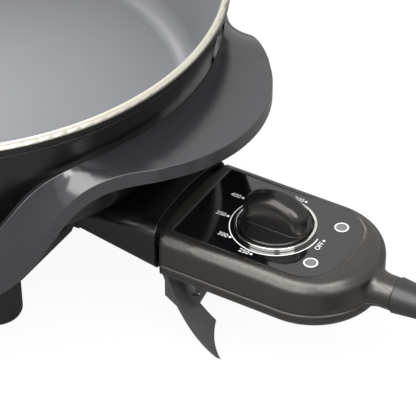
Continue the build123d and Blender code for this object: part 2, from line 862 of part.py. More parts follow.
# Terminal hood: a guard round the terminals, open at the front, on a foot plate
hood_plate_top = hood_plate_low + hood_plate_thickness
with BuildPart() as terminal_hood:
    with BuildSketch(across_x.offset(hood_back)):
        with Locations((0, (hood_back_low + hood_back_high) / 2)):
            RectangleRounded(hood_back_width, hood_back_high - hood_back_low, hood_round)
    with BuildSketch(across_x.offset(hood_front)):
        with Locations((0, (hood_front_low + hood_front_high) / 2)):
            RectangleRounded(hood_front_width, hood_front_high - hood_front_low, hood_round)
    loft()
    with BuildSketch(across_x.offset(hood_back)):
        with Locations((0, (hood_back_low + hood_back_high) / 2)):
            RectangleRounded(hood_back_width - 2 * hood_wall,
                             hood_back_high - hood_back_low - 2 * hood_wall,
                             hood_round - hood_wall)
    with BuildSketch(across_x.offset(hood_front)):
        with Locations((0, (hood_front_low + hood_front_high) / 2)):
            RectangleRounded(hood_front_width - 2 * hood_wall,
                             hood_front_high - hood_front_low - 2 * hood_wall,
                             hood_round - hood_wall)
    loft(mode=Mode.SUBTRACT)
    with BuildSketch(Plane.XY.offset(hood_front_low - cut_over)):
        with BuildLine():
            mouth = ThreePointArc((hood_front, hood_back_width / 2),
                                  (hood_front - body_bow, 0),
                                  (hood_front, -hood_back_width / 2))
            Polyline(mouth @ 1, (body_front, -hood_back_width / 2),
                     (body_front, hood_back_width / 2), mouth @ 0)
        make_face()
    extrude(amount=hood_back_high - hood_front_low + 2 * cut_over, mode=Mode.SUBTRACT)
    with BuildSketch(Plane.XY.offset(hood_plate_low)):
        with Locations((hood_plate_start, 0)):
            Rectangle(hood_back + hood_wall - hood_plate_start, 2 * hood_plate_half,
                      align=(Align.MIN, Align.CENTER))
    extrude(amount=hood_plate_thickness)
    with BuildSketch(across_x.offset(hood_back)):
        with Locations((0, hood_plate_low)):
            Rectangle(2 * hood_plate_half, hood_wall + hood_back_low - hood_plate_low,
                      align=(Align.CENTER, Align.MIN))
    extrude(amount=hood_wall)
    with BuildSketch(Plane.XY.offset(hood_plate_top)):
        with Locations(*hood_screw_places):
            Circle(hood_post_radius)
    extrude(amount=tray_floor_low - seat_gap - hood_plate_top)
    with BuildSketch(Plane.XY.offset(hood_plate_low - cut_over)):
        with Locations(*hood_screw_places):
            Circle(screw_hole)
    extrude(amount=tray_floor_low - hood_plate_low + cut_over, mode=Mode.SUBTRACT)
save(terminal_hood.part, "terminal_hood")

# Legs: four alike, each with a socket for the tray's boss and a screw from below
leg_names = ("leg_front_left", "leg_front_right", "leg_rear_left", "leg_rear_right")
for node, (x, y) in zip(leg_names, leg_places):
    with BuildPart() as leg:
        with BuildSketch(Plane.XY.offset(leg_low)):
            with Locations((x, y)):
                Circle(leg_foot_radius)
        with BuildSketch(Plane.XY.offset(leg_top)):
            with Locations((x, y)):
                Circle(leg_top_radius)
        loft()
        fillet(leg.edges().filter_by(GeomType.CIRCLE).sort_by(Axis.Z)[0], leg_edge)
        with BuildSketch(Plane.XY.offset(leg_low)):
            with Locations((x, y)):
                Circle(leg_bore)
        extrude(amount=leg_seat - leg_low, mode=Mode.SUBTRACT)
        with BuildSketch(Plane.XY.offset(leg_top)):
            with Locations((x, y)):
                Circle(leg_boss_radius + leg_socket_gap)
        extrude(amount=-leg_boss_drop, mode=Mode.SUBTRACT)
        with BuildSketch(Plane.XY.offset(leg_seat - cut_over)):
            with Locations((x, y)):
                Circle(screw_hole)
        extrude(amount=leg_top - leg_seat, mode=Mode.SUBTRACT)
    save(leg.part, node)

with BuildPart() as foot_pads:
    with BuildSketch(Plane.XY):
        with Locations(*leg_places):
            Circle(pad_flange_radius)
    extrude(amount=leg_low)
    with BuildSketch(Plane.XY):
        with Locations(*leg_places):
            Circle(pad_radius)
    extrude(amount=pad_height)
save(foot_pads.part, "foot_pads")

save(upright_screws(leg_places, leg_seat - screw_head_height,
                    tray_floor_low + tray_floor - leg_seat - 2 * cut_over), "leg_screws")
save(upright_screws(pan_screw_places, tray_floor_low - screw_head_height,
                    shield_top - tray_floor_low + pilot_depth - cut_over), "pan_screws")
save(upright_screws(handle_screw_places, band_bottom - screw_head_height,
                    band_thickness + tray_floor), "handle_screws")
save(upright_screws(hood_screw_places, hood_plate_low - screw_head_height,
                    tray_floor_top - hood_plate_low), "hood_screws")


def body_outline(inset, bow):
    """The control body's outline seen from above, drawn in, its front bowed forwards."""
    half = body_half_width - inset
    front = body_front + inset
    with BuildSketch() as outline:
        with BuildLine():
            if bow:
                ThreePointArc((front, half), (front - bow, 0), (front, -half))
            else:
                Line((front, half), (front, -half))
            Polyline((front, -half), (body_end_centre, -half), (body_end_centre, half),
                     (front, half))
        make_face()
        with Locations((body_end_centre, 0)):
            Circle(half)
    return outline.sketch


# Control body: a shell with a rounded tail and a neck for the strain relief,
# made whole and then split into an upper and a lower housing
frame_post_places = [(dial_x + sx * frame_post_x_offset, sy * frame_post_y)
                     for sx in (1, -1) for sy in (1, -1)]
light_places = [(light_x, light_half_spacing), (light_x, -light_half_spacing)]
frame_top = frame_low + frame_thickness
column_hole = small_screw_radius + shaft_gap
with BuildPart() as body_shell:
    with BuildSketch(Plane.XY.offset(body_bottom)):
        add(body_outline(0, body_bow))
    extrude(amount=body_top - body_bottom)
    fillet(body_shell.faces().sort_by(Axis.Z)[-1].edges()
           .filter_by(lambda edge: edge.center().X > body_front + cut_over), body_top_round)
    fillet(body_shell.faces().sort_by(Axis.Z)[0].edges()
           .filter_by(lambda edge: edge.center().X > body_front + cut_over), body_bottom_round)
    with BuildSketch(across_x.offset(body_end_centre)):
        with Locations((0, neck_height)):
            Circle(neck_radius)
    extrude(amount=neck_end - body_end_centre)
    with BuildSketch(Plane.XZ):
        with BuildLine():
            Polyline((flare_end, neck_height + neck_radius), (flare_end, neck_height),
                     (flare_start, neck_height), (flare_start, neck_height + flare_radius),
                     (flare_edge, neck_height + flare_radius))
            TangentArc((flare_end, neck_height + neck_radius),
                       (flare_edge, neck_height + flare_radius), tangent=(-1, 0))
        make_face()
    revolve(axis=Axis((0, 0, neck_height), (1, 0, 0)))
    with BuildSketch(Plane.XY.offset(cavity_low)):
        add(body_outline(body_wall, 0))
    extrude(amount=cavity_top - cavity_low, mode=Mode.SUBTRACT)
    with BuildSketch(across_x.offset(neck_end)):
        with Locations((0, neck_height)):
            Circle(neck_bore)
    extrude(amount=body_end_centre - neck_end, mode=Mode.SUBTRACT)
    with BuildSketch(across_x.offset(body_front - body_bow - cut_over)):
        with Locations((0, (block_low + block_high) / 2)):
            Rectangle(2 * (block_half_width + nose_opening_spare),
                      block_high - block_low + 2 * nose_gap)
    extrude(amount=body_bow + body_wall + 2 * cut_over, mode=Mode.SUBTRACT)


def panel_outline(inset):
    """The panel's outline seen from above, drawn in by an inset."""
    with BuildSketch() as outline:
        with Locations((panel_front + inset, 0)):
            Rectangle(panel_end - panel_front - 2 * inset, 2 * (panel_half_width - inset),
                      align=(Align.MIN, Align.CENTER))
        for side in (1, -1):
            fillet(nearest(outline.vertices(), panel_end, side * panel_half_width),
                   panel_end_round - inset)
            fillet(nearest(outline.vertices(), panel_front, side * panel_half_width),
                   panel_front_round)
    return outline.sketch


with BuildPart() as probe_upper_housing:
    add(body_shell.part)
    with BuildSketch(Plane.XY.offset(cavity_top)):
        with Locations(*frame_post_places):
            Circle(frame_post_radius)
    extrude(amount=frame_top - cavity_top)
    with BuildSketch(Plane.XY.offset(cavity_top)):
        with Locations(*column_places):
            Circle(column_radius)
    extrude(amount=body_split - cavity_top)
    with BuildSketch(Plane.XY.offset(body_top)):
        add(panel_outline(0))
    extrude(amount=-panel_depth, mode=Mode.SUBTRACT)
    with BuildSketch(Plane.XY.offset(body_top)):
        with Locations((dial_x, 0)):
            Circle(knob_hub_hole)
        with Locations(*light_places):
            Circle(light_hole)
    extrude(amount=cavity_top - body_top, mode=Mode.SUBTRACT)
    with BuildSketch(Plane.XY.offset(frame_top)):
        with Locations(*frame_post_places):
            Circle(column_hole)
    extrude(amount=cavity_top - frame_top, mode=Mode.SUBTRACT)
    with BuildSketch(Plane.XY.offset(body_split)):
        with Locations(*column_places):
            Circle(column_hole)
    extrude(amount=column_screw_rise + cut_over, mode=Mode.SUBTRACT)
    split(bisect_by=Plane.XY.offset(body_split), keep=Keep.TOP)
save(probe_upper_housing.part, "probe_upper_housing")

# Lower housing, with the ear that carries the release lever
column_seat = body_bottom + column_head_depth
with BuildPart() as probe_lower_housing:
    add(body_shell.part)
    with BuildSketch(Plane.XY.offset(cavity_low)):
        with Locations(*column_places):
            Circle(column_radius)
    extrude(amount=body_split - cavity_low)
    with BuildSketch(Plane.XY.offset(body_bottom)):
        with Locations(*column_places):
            Circle(small_screw_head + part_gap)
    extrude(amount=column_head_depth, mode=Mode.SUBTRACT)
    with BuildSketch(Plane.XY.offset(column_seat)):
        with Locations(*column_places):
            Circle(small_screw_hole)
    extrude(amount=body_split - column_seat, mode=Mode.SUBTRACT)
    split(bisect_by=Plane.XY.offset(body_split - split_gap), keep=Keep.BOTTOM)
    with BuildSketch(Plane.XZ.offset(ear_far)):
        with BuildLine():
            Polyline((ear_front, body_bottom + ear_rise), (ear_back, body_bottom + ear_rise),
                     (lever_pivot_x + ear_round, lever_pivot_z),
                     (lever_pivot_x - ear_round, lever_pivot_z), close=True)
        make_face()
        with Locations((lever_pivot_x, lever_pivot_z)):
            Circle(ear_round)
        with Locations((lever_pivot_x, lever_pivot_z)):
            Circle(lever_pin_radius, mode=Mode.SUBTRACT)
    extrude(amount=ear_thickness)
save(probe_lower_housing.part, "probe_lower_housing")

with BuildPart() as control_panel:
    with BuildSketch(Plane.XY.offset(panel_low)):
        add(panel_outline(trim_gap))
        with Locations((dial_x, 0)):
            Circle(knob_hub_hole, mode=Mode.SUBTRACT)
        with Locations(*light_places):
            Circle(light_hole, mode=Mode.SUBTRACT)
    extrude(amount=panel_thickness)
save(control_panel.part, "control_panel")

# Dial ring, knob and shaft
with BuildPart() as dial_ring:
    with BuildSketch(Plane.XY.offset(body_top)):
        with Locations((dial_x, 0)):
            Circle(ring_outer)
            Circle(ring_inner, mode=Mode.SUBTRACT)
    extrude(amount=ring_height)
    chamfer(dial_ring.edges().filter_by(GeomType.CIRCLE).sort_by(Axis.Z)[-1], ring_chamfer)
save(dial_ring.part, "dial_ring")

knob_low = body_top + knob_lift
knob_disc_top = knob_low + knob_disc
grip_reach = knob_radius - grip_edge_gap
grip_end = knob_low + grip_end_height
hub_low = clip_height + clip_thickness + seat_gap
knob_bore_top = hub_low + knob_bore_depth
with BuildPart() as knob_grip:
    with BuildSketch(Plane.XY.offset(knob_low)):
        with Locations((dial_x, 0)):
            SlotOverall(2 * grip_reach, 2 * grip_half_width)
    extrude(amount=grip_height)
    with BuildSketch(Plane.XZ):
        with BuildLine():
            arch = ThreePointArc((dial_x - grip_reach, grip_end), (dial_x, knob_low + grip_height),
                                 (dial_x + grip_reach, grip_end))
            Polyline(arch @ 1, (dial_x + grip_reach, knob_low), (dial_x - grip_reach, knob_low),
                     arch @ 0)
        make_face()
    extrude(amount=grip_half_width, both=True, mode=Mode.INTERSECT)
    fillet(knob_grip.edges().filter_by(
        lambda edge: edge.center().Z > grip_end - grip_half_width), grip_round)
with BuildPart() as knob:
    with BuildSketch(Plane.XY.offset(knob_low)):
        with Locations((dial_x, 0)):
            Circle(knob_radius)
    extrude(amount=knob_disc)
    chamfer(knob.edges().sort_by(Axis.Z)[-1], knob_edge)
    add(knob_grip.part)
    with BuildSketch(Plane.XY.offset(hub_low)):
        with Locations((dial_x, 0)):
            Circle(knob_hub)
    extrude(amount=knob_disc_top - hub_low)
    with BuildSketch(Plane.XY.offset(hub_low)):
        with Locations((dial_x, 0)):
            Circle(shaft_radius + shaft_gap)
    extrude(amount=knob_bore_depth, mode=Mode.SUBTRACT)
save(knob.part, "knob")

shaft_top = knob_bore_top - part_gap
with BuildPart() as knob_shaft:
    with BuildSketch(Plane.XY.offset(shaft_low)):
        with Locations((dial_x, 0)):
            Circle(shaft_radius)
    extrude(amount=shaft_top - shaft_low)
    with BuildSketch(Plane.XY.offset(clip_height)):
        with Locations((dial_x, 0)):
            Circle(shaft_radius)
            Circle(shaft_radius - clip_groove, mode=Mode.SUBTRACT)
    extrude(amount=clip_thickness, mode=Mode.SUBTRACT)
    with BuildSketch(Plane.XY.offset(hub_low)):
        with Locations((dial_x + shaft_radius - shaft_flat, 0)):
            Rectangle(shaft_radius, 2 * shaft_radius, align=(Align.MIN, Align.CENTER))
    extrude(amount=knob_bore_depth, mode=Mode.SUBTRACT)
save(knob_shaft.part, "knob_shaft")

with BuildPart() as knob_clip:
    with BuildSketch(Plane.XY.offset(clip_height + shaft_gap)):
        with Locations((dial_x, 0)):
            Circle(clip_outer)
            Circle(shaft_radius - clip_groove + shaft_gap, mode=Mode.SUBTRACT)
        with Locations((dial_x, 0)):
            Rectangle(clip_outer, 2 * (shaft_radius - clip_groove + shaft_gap),
                      align=(Align.MIN, Align.CENTER), mode=Mode.SUBTRACT)
    extrude(amount=clip_thickness - 2 * shaft_gap)
save(knob_clip.part, "knob_clip")

# Thermostat: a frame under the posts, two contact blades and their stack
with BuildPart() as shaft_bush:
    with BuildSketch(Plane.XY.offset(frame_low - bush_drop)):
        with Locations((dial_x, 0)):
            Circle(bush_radius)
    extrude(amount=bush_drop + frame_thickness + bush_rise)
    with BuildSketch(Plane.XY.offset(frame_top)):
        with Locations((dial_x, 0)):
            Circle(bush_flange)
    extrude(amount=bush_flange_height)
    with BuildSketch(Plane.XY.offset(frame_low - bush_drop)):
        with Locations((dial_x, 0)):
            Circle(shaft_radius + shaft_gap)
    extrude(amount=bush_drop + frame_thickness + bush_rise, mode=Mode.SUBTRACT)
save(shaft_bush.part, "shaft_bush")

stack_middle = (stack_start + blade_end) / 2
with BuildPart() as thermostat_frame:
    with BuildSketch(Plane.XY.offset(frame_low)):
        with Locations((frame_start, 0)):
            Rectangle(frame_end - frame_start, 2 * frame_half_width,
                      align=(Align.MIN, Align.CENTER))
        with Locations((dial_x, 0)):
            Circle(bush_radius + shaft_gap, mode=Mode.SUBTRACT)
        with Locations(*frame_post_places):
            Circle(small_screw_hole, mode=Mode.SUBTRACT)
        with Locations((stack_middle, 0)):
            Circle(rivet_hole, mode=Mode.SUBTRACT)
    extrude(amount=frame_thickness)
save(thermostat_frame.part, "thermostat_frame")

save(upright_screws(frame_post_places, frame_low - small_screw_head_height,
                    cavity_top - frame_low - part_gap, small_screw_radius,
                    small_screw_head, small_screw_head_height), "frame_screws")
save(upright_screws(column_places, column_seat - small_screw_head_height,
                    body_split + column_screw_rise - column_seat, small_screw_radius,
                    small_screw_head, small_screw_head_height), "housing_screws")

upper_blade_low = shaft_low - seat_gap - blade_thickness
lower_blade_low = upper_blade_low - blade_spacing - blade_thickness
contact_x = lower_blade_start + contact_inset
for node, low, start, contact_low in (
        ("upper_contact_blade", upper_blade_low, blade_start, upper_blade_low - contact_height),
        ("lower_contact_blade", lower_blade_low, lower_blade_start,
         lower_blade_low + blade_thickness)):
    with BuildPart() as blade:
        with BuildSketch(Plane.XY.offset(low)):
            with Locations((start, 0)):
                Rectangle(blade_end - start, 2 * blade_half_width,
                          align=(Align.MIN, Align.CENTER))
            with Locations((stack_middle, 0)):
                Circle(rivet_hole, mode=Mode.SUBTRACT)
        extrude(amount=blade_thickness)
        with BuildSketch(Plane.XY.offset(contact_low)):
            with Locations((contact_x, 0)):
                Circle(contact_radius)
        extrude(amount=contact_height)
    save(blade.part, node)

with BuildPart() as contact_spacers:
    with BuildSketch(Plane.XY.offset(upper_blade_low + blade_thickness)):
        with Locations((stack_middle, 0)):
            Rectangle(blade_end - stack_start, 2 * stack_half_width)
            Circle(rivet_hole, mode=Mode.SUBTRACT)
    extrude(amount=frame_low - upper_blade_low - blade_thickness)
    with BuildSketch(Plane.XY.offset(lower_blade_low + blade_thickness)):
        with Locations((stack_middle, 0)):
            Rectangle(blade_end - stack_start, 2 * stack_half_width)
            Circle(rivet_hole, mode=Mode.SUBTRACT)
    extrude(amount=blade_spacing)
save(contact_spacers.part, "contact_spacers")

with BuildPart() as stack_rivet:
    with BuildSketch(Plane.XY.offset(lower_blade_low)):
        with Locations((stack_middle, 0)):
            Circle(rivet_radius)
    extrude(amount=frame_top - lower_blade_low)
    with BuildSketch(Plane.XY.offset(lower_blade_low)):
        with Locations((stack_middle, 0)):
            Circle(rivet_head)
    extrude(amount=-rivet_head_height)
    with BuildSketch(Plane.XY.offset(frame_top)):
        with Locations((stack_middle, 0)):
            Circle(rivet_head)
    extrude(amount=rivet_head_height)
save(stack_rivet.part, "stack_rivet")

# Sensor rod, and the block that holds it and the two receptacles
with BuildPart() as sensor_rod:
    with BuildSketch(across_x.offset(rod_tip)):
        with Locations((0, socket_height)):
            Circle(rod_radius)
    extrude(amount=rod_end - rod_tip)
    fillet(sensor_rod.edges().sort_by(Axis.X)[0], rod_radius / 2)
    with BuildSketch(across_x.offset(block_end + seat_gap)):
        with Locations((0, socket_height)):
            Circle(rod_collar)
    extrude(amount=rod_collar_length)
save(sensor_rod.part, "sensor_rod")

flange_start = body_front + body_wall + seat_gap
with BuildPart() as receptacle_block:
    with BuildSketch(across_x.offset(block_front)):
        with Locations((0, (block_low + block_high) / 2)):
            RectangleRounded(2 * block_half_width, block_high - block_low, block_round)
    extrude(amount=block_end - block_front)
    with BuildSketch(across_x.offset(flange_start)):
        with Locations((0, block_high)):
            Rectangle(2 * block_flange_half, block_high - block_low + block_flange_drop,
                      align=(Align.CENTER, Align.MAX))
    extrude(amount=block_flange)
    with BuildSketch(across_x.offset(block_front)):
        with Locations((pin_y, socket_height), (-pin_y, socket_height)):
            Circle(receptacle_outer + shaft_gap)
        with Locations((0, socket_height)):
            Circle(rod_radius + slide_gap)
    extrude(amount=block_end - block_front, mode=Mode.SUBTRACT)
save(receptacle_block.part, "receptacle_block")

with BuildPart() as receptacles:
    with BuildSketch(across_x.offset(receptacle_start)):
        with Locations((pin_y, socket_height), (-pin_y, socket_height)):
            Circle(receptacle_outer)
            Circle(pin_radius + slide_gap, mode=Mode.SUBTRACT)
    extrude(amount=receptacle_length - receptacle_seat)
    with BuildSketch(across_x.offset(receptacle_end)):
        with Locations((pin_y, socket_height), (-pin_y, socket_height)):
            Circle(receptacle_outer)
            Circle(lead_radius + shaft_gap, mode=Mode.SUBTRACT)
    extrude(amount=-receptacle_seat)
save(receptacles.part, "receptacles")

# Release lever: a curved strip with a side web that turns on a pin in the ear
strip_top = [Vector(lever_top_x + x * lever_reach, lever_top_z - z * lever_drop)
             for x, z in lever_curve_shares]
strip_curve = Edge.make_spline(strip_top)
strip_under = []
for share in lever_under_shares:
    run = strip_curve.tangent_at(share)
    under_side = Vector(run.Y, -run.X)
    strip_under.append(strip_curve.position_at(share)
                       + under_side * between(lever_thickness, lever_tip, share))
lever_far = lever_near - lever_width
lever_tip_z = lever_top_z - lever_drop
tip_bow = (between(-lever_near, lever_flare - lever_far, lever_tip_bow_shares[0]),
           lever_tip_z + lever_flare_low * lever_tip_bow_shares[1])
pivot = (lever_pivot_x, lever_pivot_z)
with BuildPart() as release_lever:
    with BuildSketch(Plane.XZ.offset(lever_near)):
        with BuildLine():
            Spline(*strip_top)
            Spline(*strip_under)
            Line(strip_top[0], strip_under[0])
            Line(strip_top[-1], strip_under[-1])
        make_face()
    extrude(amount=-lever_width - lever_flare)
    with BuildSketch(across_x.offset(lever_top_x - lever_reach)):
        with BuildLine():
            far_edge = Polyline((lever_flare, lever_top_z + cut_over),
                                (-lever_far, lever_top_z + cut_over),
                                (-lever_far, lever_tip_z + lever_flare_high),
                                (lever_flare - lever_far, lever_tip_z + lever_flare_low))
            tip_edge = ThreePointArc(far_edge @ 1, tip_bow, (-lever_near, lever_tip_z))
            Polyline(tip_edge @ 1, (-lever_near, lever_tip_z - lever_thickness),
                     (lever_flare, lever_tip_z - lever_thickness), far_edge @ 0)
        make_face()
    extrude(amount=2 * lever_reach + lever_drop, mode=Mode.SUBTRACT)
    with BuildSketch(Plane.XZ.offset(lever_near)):
        with BuildLine():
            Polyline(strip_top[0], strip_top[1], strip_top[2],
                     (lever_pivot_x - lever_gusset_foot_ahead,
                      lever_pivot_z - lever_gusset_foot_drop),
                     (lever_top_x - lever_gusset_front, lever_top_z - lever_gusset_fall),
                     (lever_top_x - lever_gusset_front, lever_top_z - lever_thickness),
                     close=True)
        make_face()
    extrude(amount=-lever_web)
    with BuildSketch(Plane.XZ.offset(lever_far)):
        with BuildLine():
            Polyline(strip_under[0], strip_top[0],
                     (lever_pivot_x + lever_web_top_behind, lever_pivot_z + lever_web_top_rise),
                     (lever_pivot_x + lever_web_foot_behind,
                      lever_pivot_z - lever_web_foot_drop),
                     strip_top[2], strip_under[2], strip_under[1], close=True)
        make_face()
    extrude(amount=lever_web)
    with BuildSketch(Plane.XZ.offset(lever_far)):
        with Locations(pivot):
            Circle(lever_hub)
    extrude(amount=lever_web + lever_hub_proud)
    with BuildSketch(Plane.XZ.offset(lever_far)):
        with Locations(pivot):
            Circle(lever_pin_radius + shaft_gap)
    extrude(amount=lever_web + lever_hub_proud, mode=Mode.SUBTRACT)
    with BuildSketch(Plane.XZ.offset(lever_far)):
        with BuildLine():
            outer_arc = CenterArc(pivot, lever_slot_outer, lever_slot_start, lever_slot_sweep)
            inner_arc = CenterArc(pivot, lever_slot_inner, lever_slot_start, lever_slot_sweep)
            Line(outer_arc @ 0, inner_arc @ 0)
            Line(outer_arc @ 1, inner_arc @ 1)
        make_face()
    extrude(amount=lever_web, mode=Mode.SUBTRACT)
save(release_lever.part, "release_lever")

pin_head_near = lever_far + lever_web + lever_hub_proud + seat_gap + pin_head_height
with BuildPart() as lever_pin:
    with BuildSketch(Plane.XZ.offset(pin_head_near)):
        with Locations(pivot):
            Circle(lever_pin_radius)
    extrude(amount=ear_far - pin_head_near)
    with BuildSketch(Plane.XZ.offset(pin_head_near)):
        with Locations(pivot):
            Circle(pin_head)
    extrude(amount=-pin_head_height)
save(lever_pin.part, "lever_pin")

arm_rise = spring_arm * spring_pitch / (2 * math.pi * spring_radius)
spring_near = ear_far + ear_thickness + spring_wire + shaft_gap + arm_rise
with BuildPart() as lever_spring:
    with BuildLine() as spring_path:
        turns = Helix(pitch=spring_pitch, height=spring_pitch * spring_turns, radius=spring_radius,
                      center=(lever_pivot_x, -spring_near, lever_pivot_z), direction=(0, -1, 0))
        Line((turns @ 0) - (turns % 0) * spring_arm, turns @ 0)
        Line(turns @ 1, (turns @ 1) + (turns % 1) * spring_arm)
    with BuildSketch(Plane(origin=(turns @ 0) - (turns % 0) * spring_arm, z_dir=turns % 0)):
        Circle(spring_wire)
    sweep(path=spring_path.wires()[0])
save(lever_spring.part, "lever_spring")

# Lights: a lens in each hole of the panel, a lamp below it
lens_low = cavity_top - part_gap - light_flange_height
for node, place in zip(("power_lens", "ready_lens"), light_places):
    with BuildPart() as lens:
        with BuildSketch(Plane.XY.offset(lens_low)):
            with Locations(place):
                Circle(light_lens)
        extrude(amount=body_top + light_proud - lens_low)
        fillet(lens.edges().sort_by(Axis.Z)[-1], light_proud)
        with BuildSketch(Plane.XY.offset(lens_low)):
            with Locations(place):
                Circle(light_flange)
        extrude(amount=light_flange_height)
    save(lens.part, node)

with BuildPart() as indicator_lamps:
    with BuildSketch(Plane.XY.offset(lens_low - part_gap)):
        with Locations(*light_places):
            Circle(lamp_radius)
    extrude(amount=-lamp_length)
save(indicator_lamps.part, "indicator_lamps")

# Strain relief: a ribbed boot with a flange held inside the neck
relief_back = relief_flange_front - relief_flange_length
relief_end = neck_end + relief_length
with BuildPart() as strain_relief:
    with BuildSketch(Plane.XZ):
        with BuildLine():
            Polyline(
                (relief_back, neck_height),
                (relief_back, neck_height + relief_flange),
                (relief_flange_front, neck_height + relief_flange),
                (relief_flange_front, neck_height + neck_bore - shaft_gap),
                (neck_end, neck_height + neck_bore - shaft_gap),
                (neck_end, neck_height + relief_base),
                (relief_end, neck_height + relief_end_radius),
                (relief_end, neck_height),
                close=True,
            )
        make_face()
        for groove in range(relief_grooves):
            groove_x = neck_end + relief_groove_start + groove * relief_groove_pitch
            groove_share = (groove_x - neck_end) / relief_length
            with Locations((groove_x, neck_height - relief_groove_depth
                            + between(relief_base, relief_end_radius, groove_share))):
                Rectangle(relief_groove_width, relief_base, align=(Align.CENTER, Align.MIN),
                          mode=Mode.SUBTRACT)
    revolve(axis=Axis((0, 0, neck_height), (1, 0, 0)))
save(strain_relief.part, "strain_relief")

# Leads from the boot to the receptacles
with BuildPart() as power_leads:
    for side in (1, -1):
        with BuildLine() as lead_path:
            FilletPolyline(
                (relief_back, side * lead_half_start, neck_height),
                (lead_turn_x, side * lead_half_start, neck_height),
                (lead_spread_x, side * pin_y, lead_spread_z),
                (lead_rise_x, side * pin_y, socket_height),
                (lead_end_x, side * pin_y, socket_height),
                radius=lead_bend)
        with BuildSketch(Plane(origin=(relief_back, side * lead_half_start, neck_height),
                               z_dir=(-1, 0, 0))):
            Circle(lead_radius)
        sweep(path=lead_path.wires()[0])
save(power_leads.part, "power_leads")


def tube(path, start, heading):
    """A round cord swept along a path."""
    with BuildPart() as swept:
        with BuildSketch(Plane(origin=start, z_dir=heading)):
            Circle(cord_radius)
        sweep(path=path)
    ideal = math.pi * cord_radius ** 2 * path.length
    print("cord piece length", round(path.length, 1), "volume against section by length",
          round(swept.part.volume / ideal, 4))
    return swept.part


# Cord lead from the boot down to the table
route = [Vector(point) for point in lead_route]
runs = [after - before for before, after in zip(route, route[1:])]
bend_radii = []
for before, after in zip(runs, runs[1:]):
    half_bend = math.radians(before.get_angle(after)) / 2
    shorter = min(before.length, after.length)
    bend_radii.append(lead_bend_share * shorter / math.tan(half_bend))
print("lead radii", [round(radius, 1) for radius in bend_radii],
      "runs", [round(run.length, 1) for run in runs])
with BuildLine() as cord_lead_path:
    FilletPolyline(*route, radius=bend_radii)
save(tube(cord_lead_path.wires()[0], route[0], runs[0]), "cord_lead")

# Cord coil: loops put away in two layers, spiralling in below and out above
coil_start = route[-1]
heading = Vector(0, -1, 0)
spiral_start = coil_start + heading * coil_straight
coil_centre = spiral_start - Vector(coil_outer, 0, 0)
spiral_half = coil_turns * math.pi
quarter = 2 * math.pi / coil_stations


def coil_station(turn):
    """A place on the spiral and its direction there; turn runs from minus to plus."""
    radius = coil_outer - coil_pitch * (spiral_half - abs(turn)) / (2 * math.pi)
    growth = math.copysign(coil_pitch / (2 * math.pi), turn) if abs(turn) > quarter / 2 else 0
    climb_turn = min(max(turn, -quarter), quarter)
    rise = coil_layer * (1 + math.sin(climb_turn)) / 2
    rise_rate = coil_layer * math.cos(climb_turn) / 2
    angle = -(turn + spiral_half)
    outwards = Vector(math.cos(angle), math.sin(angle), 0)
    onwards = Vector(math.sin(angle), -math.cos(angle), 0)
    place = coil_centre + outwards * radius + Vector(0, 0, rise)
    return place, (outwards * growth + onwards * radius + Vector(0, 0, rise_rate)).normalized()


stations = [coil_station(-spiral_half + step * quarter)
            for step in range(coil_stations * coil_turns + 1)]
stations[0] = (spiral_start, heading)
stations[-1] = (stations[-1][0], heading)
coil_end = stations[-1][0] + heading * coil_straight
coil_edges = [Edge.make_line(coil_start, spiral_start)]
for (before, before_dir), (after, after_dir) in zip(stations, stations[1:]):
    coil_edges.extend(biarc(before, before_dir, after, after_dir))
coil_edges.append(Edge.make_line(stations[-1][0], coil_end))
coil_path = Wire(coil_edges)
coil_points = []
walked = 0
for edge in coil_edges:
    for step in range(coil_samples):
        coil_points.append((walked + edge.length * step / coil_samples,
                            edge.position_at(step / coil_samples)))
    walked += edge.length
least = min((one - other).length for at, one in coil_points for there, other in coil_points
            if there - at > coil_outer)
print("coil gap", round(least - 2 * cord_radius, 2))
save(tube(coil_path, coil_start, heading), "cord_coil")

tail_end = coil_end + heading * tail_length
with BuildLine() as tail_path:
    Line(coil_end, tail_end)
save(tube(tail_path.wires()[0], coil_end, heading), "cord_tail")

# Two-pole plug
plug_face = tail_end + heading * (plug_neck_length + plug_length)
with BuildPart() as plug_body:
    with BuildSketch(Plane(origin=tail_end, x_dir=(1, 0, 0), z_dir=heading)):
        Circle(plug_neck_radius)
    extrude(amount=plug_neck_length)
    with BuildSketch(Plane(origin=plug_face, x_dir=(1, 0, 0), z_dir=heading)):
        RectangleRounded(plug_width, plug_thickness, plug_round)
    extrude(amount=-plug_length)
save(plug_body.part, "plug_body")

with BuildPart() as plug_prongs:
    with BuildSketch(Plane(origin=plug_face, x_dir=(1, 0, 0), z_dir=heading)):
        with Locations((prong_spacing / 2, 0), (-prong_spacing / 2, 0)):
            Rectangle(prong_thickness, prong_width)
    extrude(amount=prong_length)
save(plug_prongs.part, "plug_prongs")
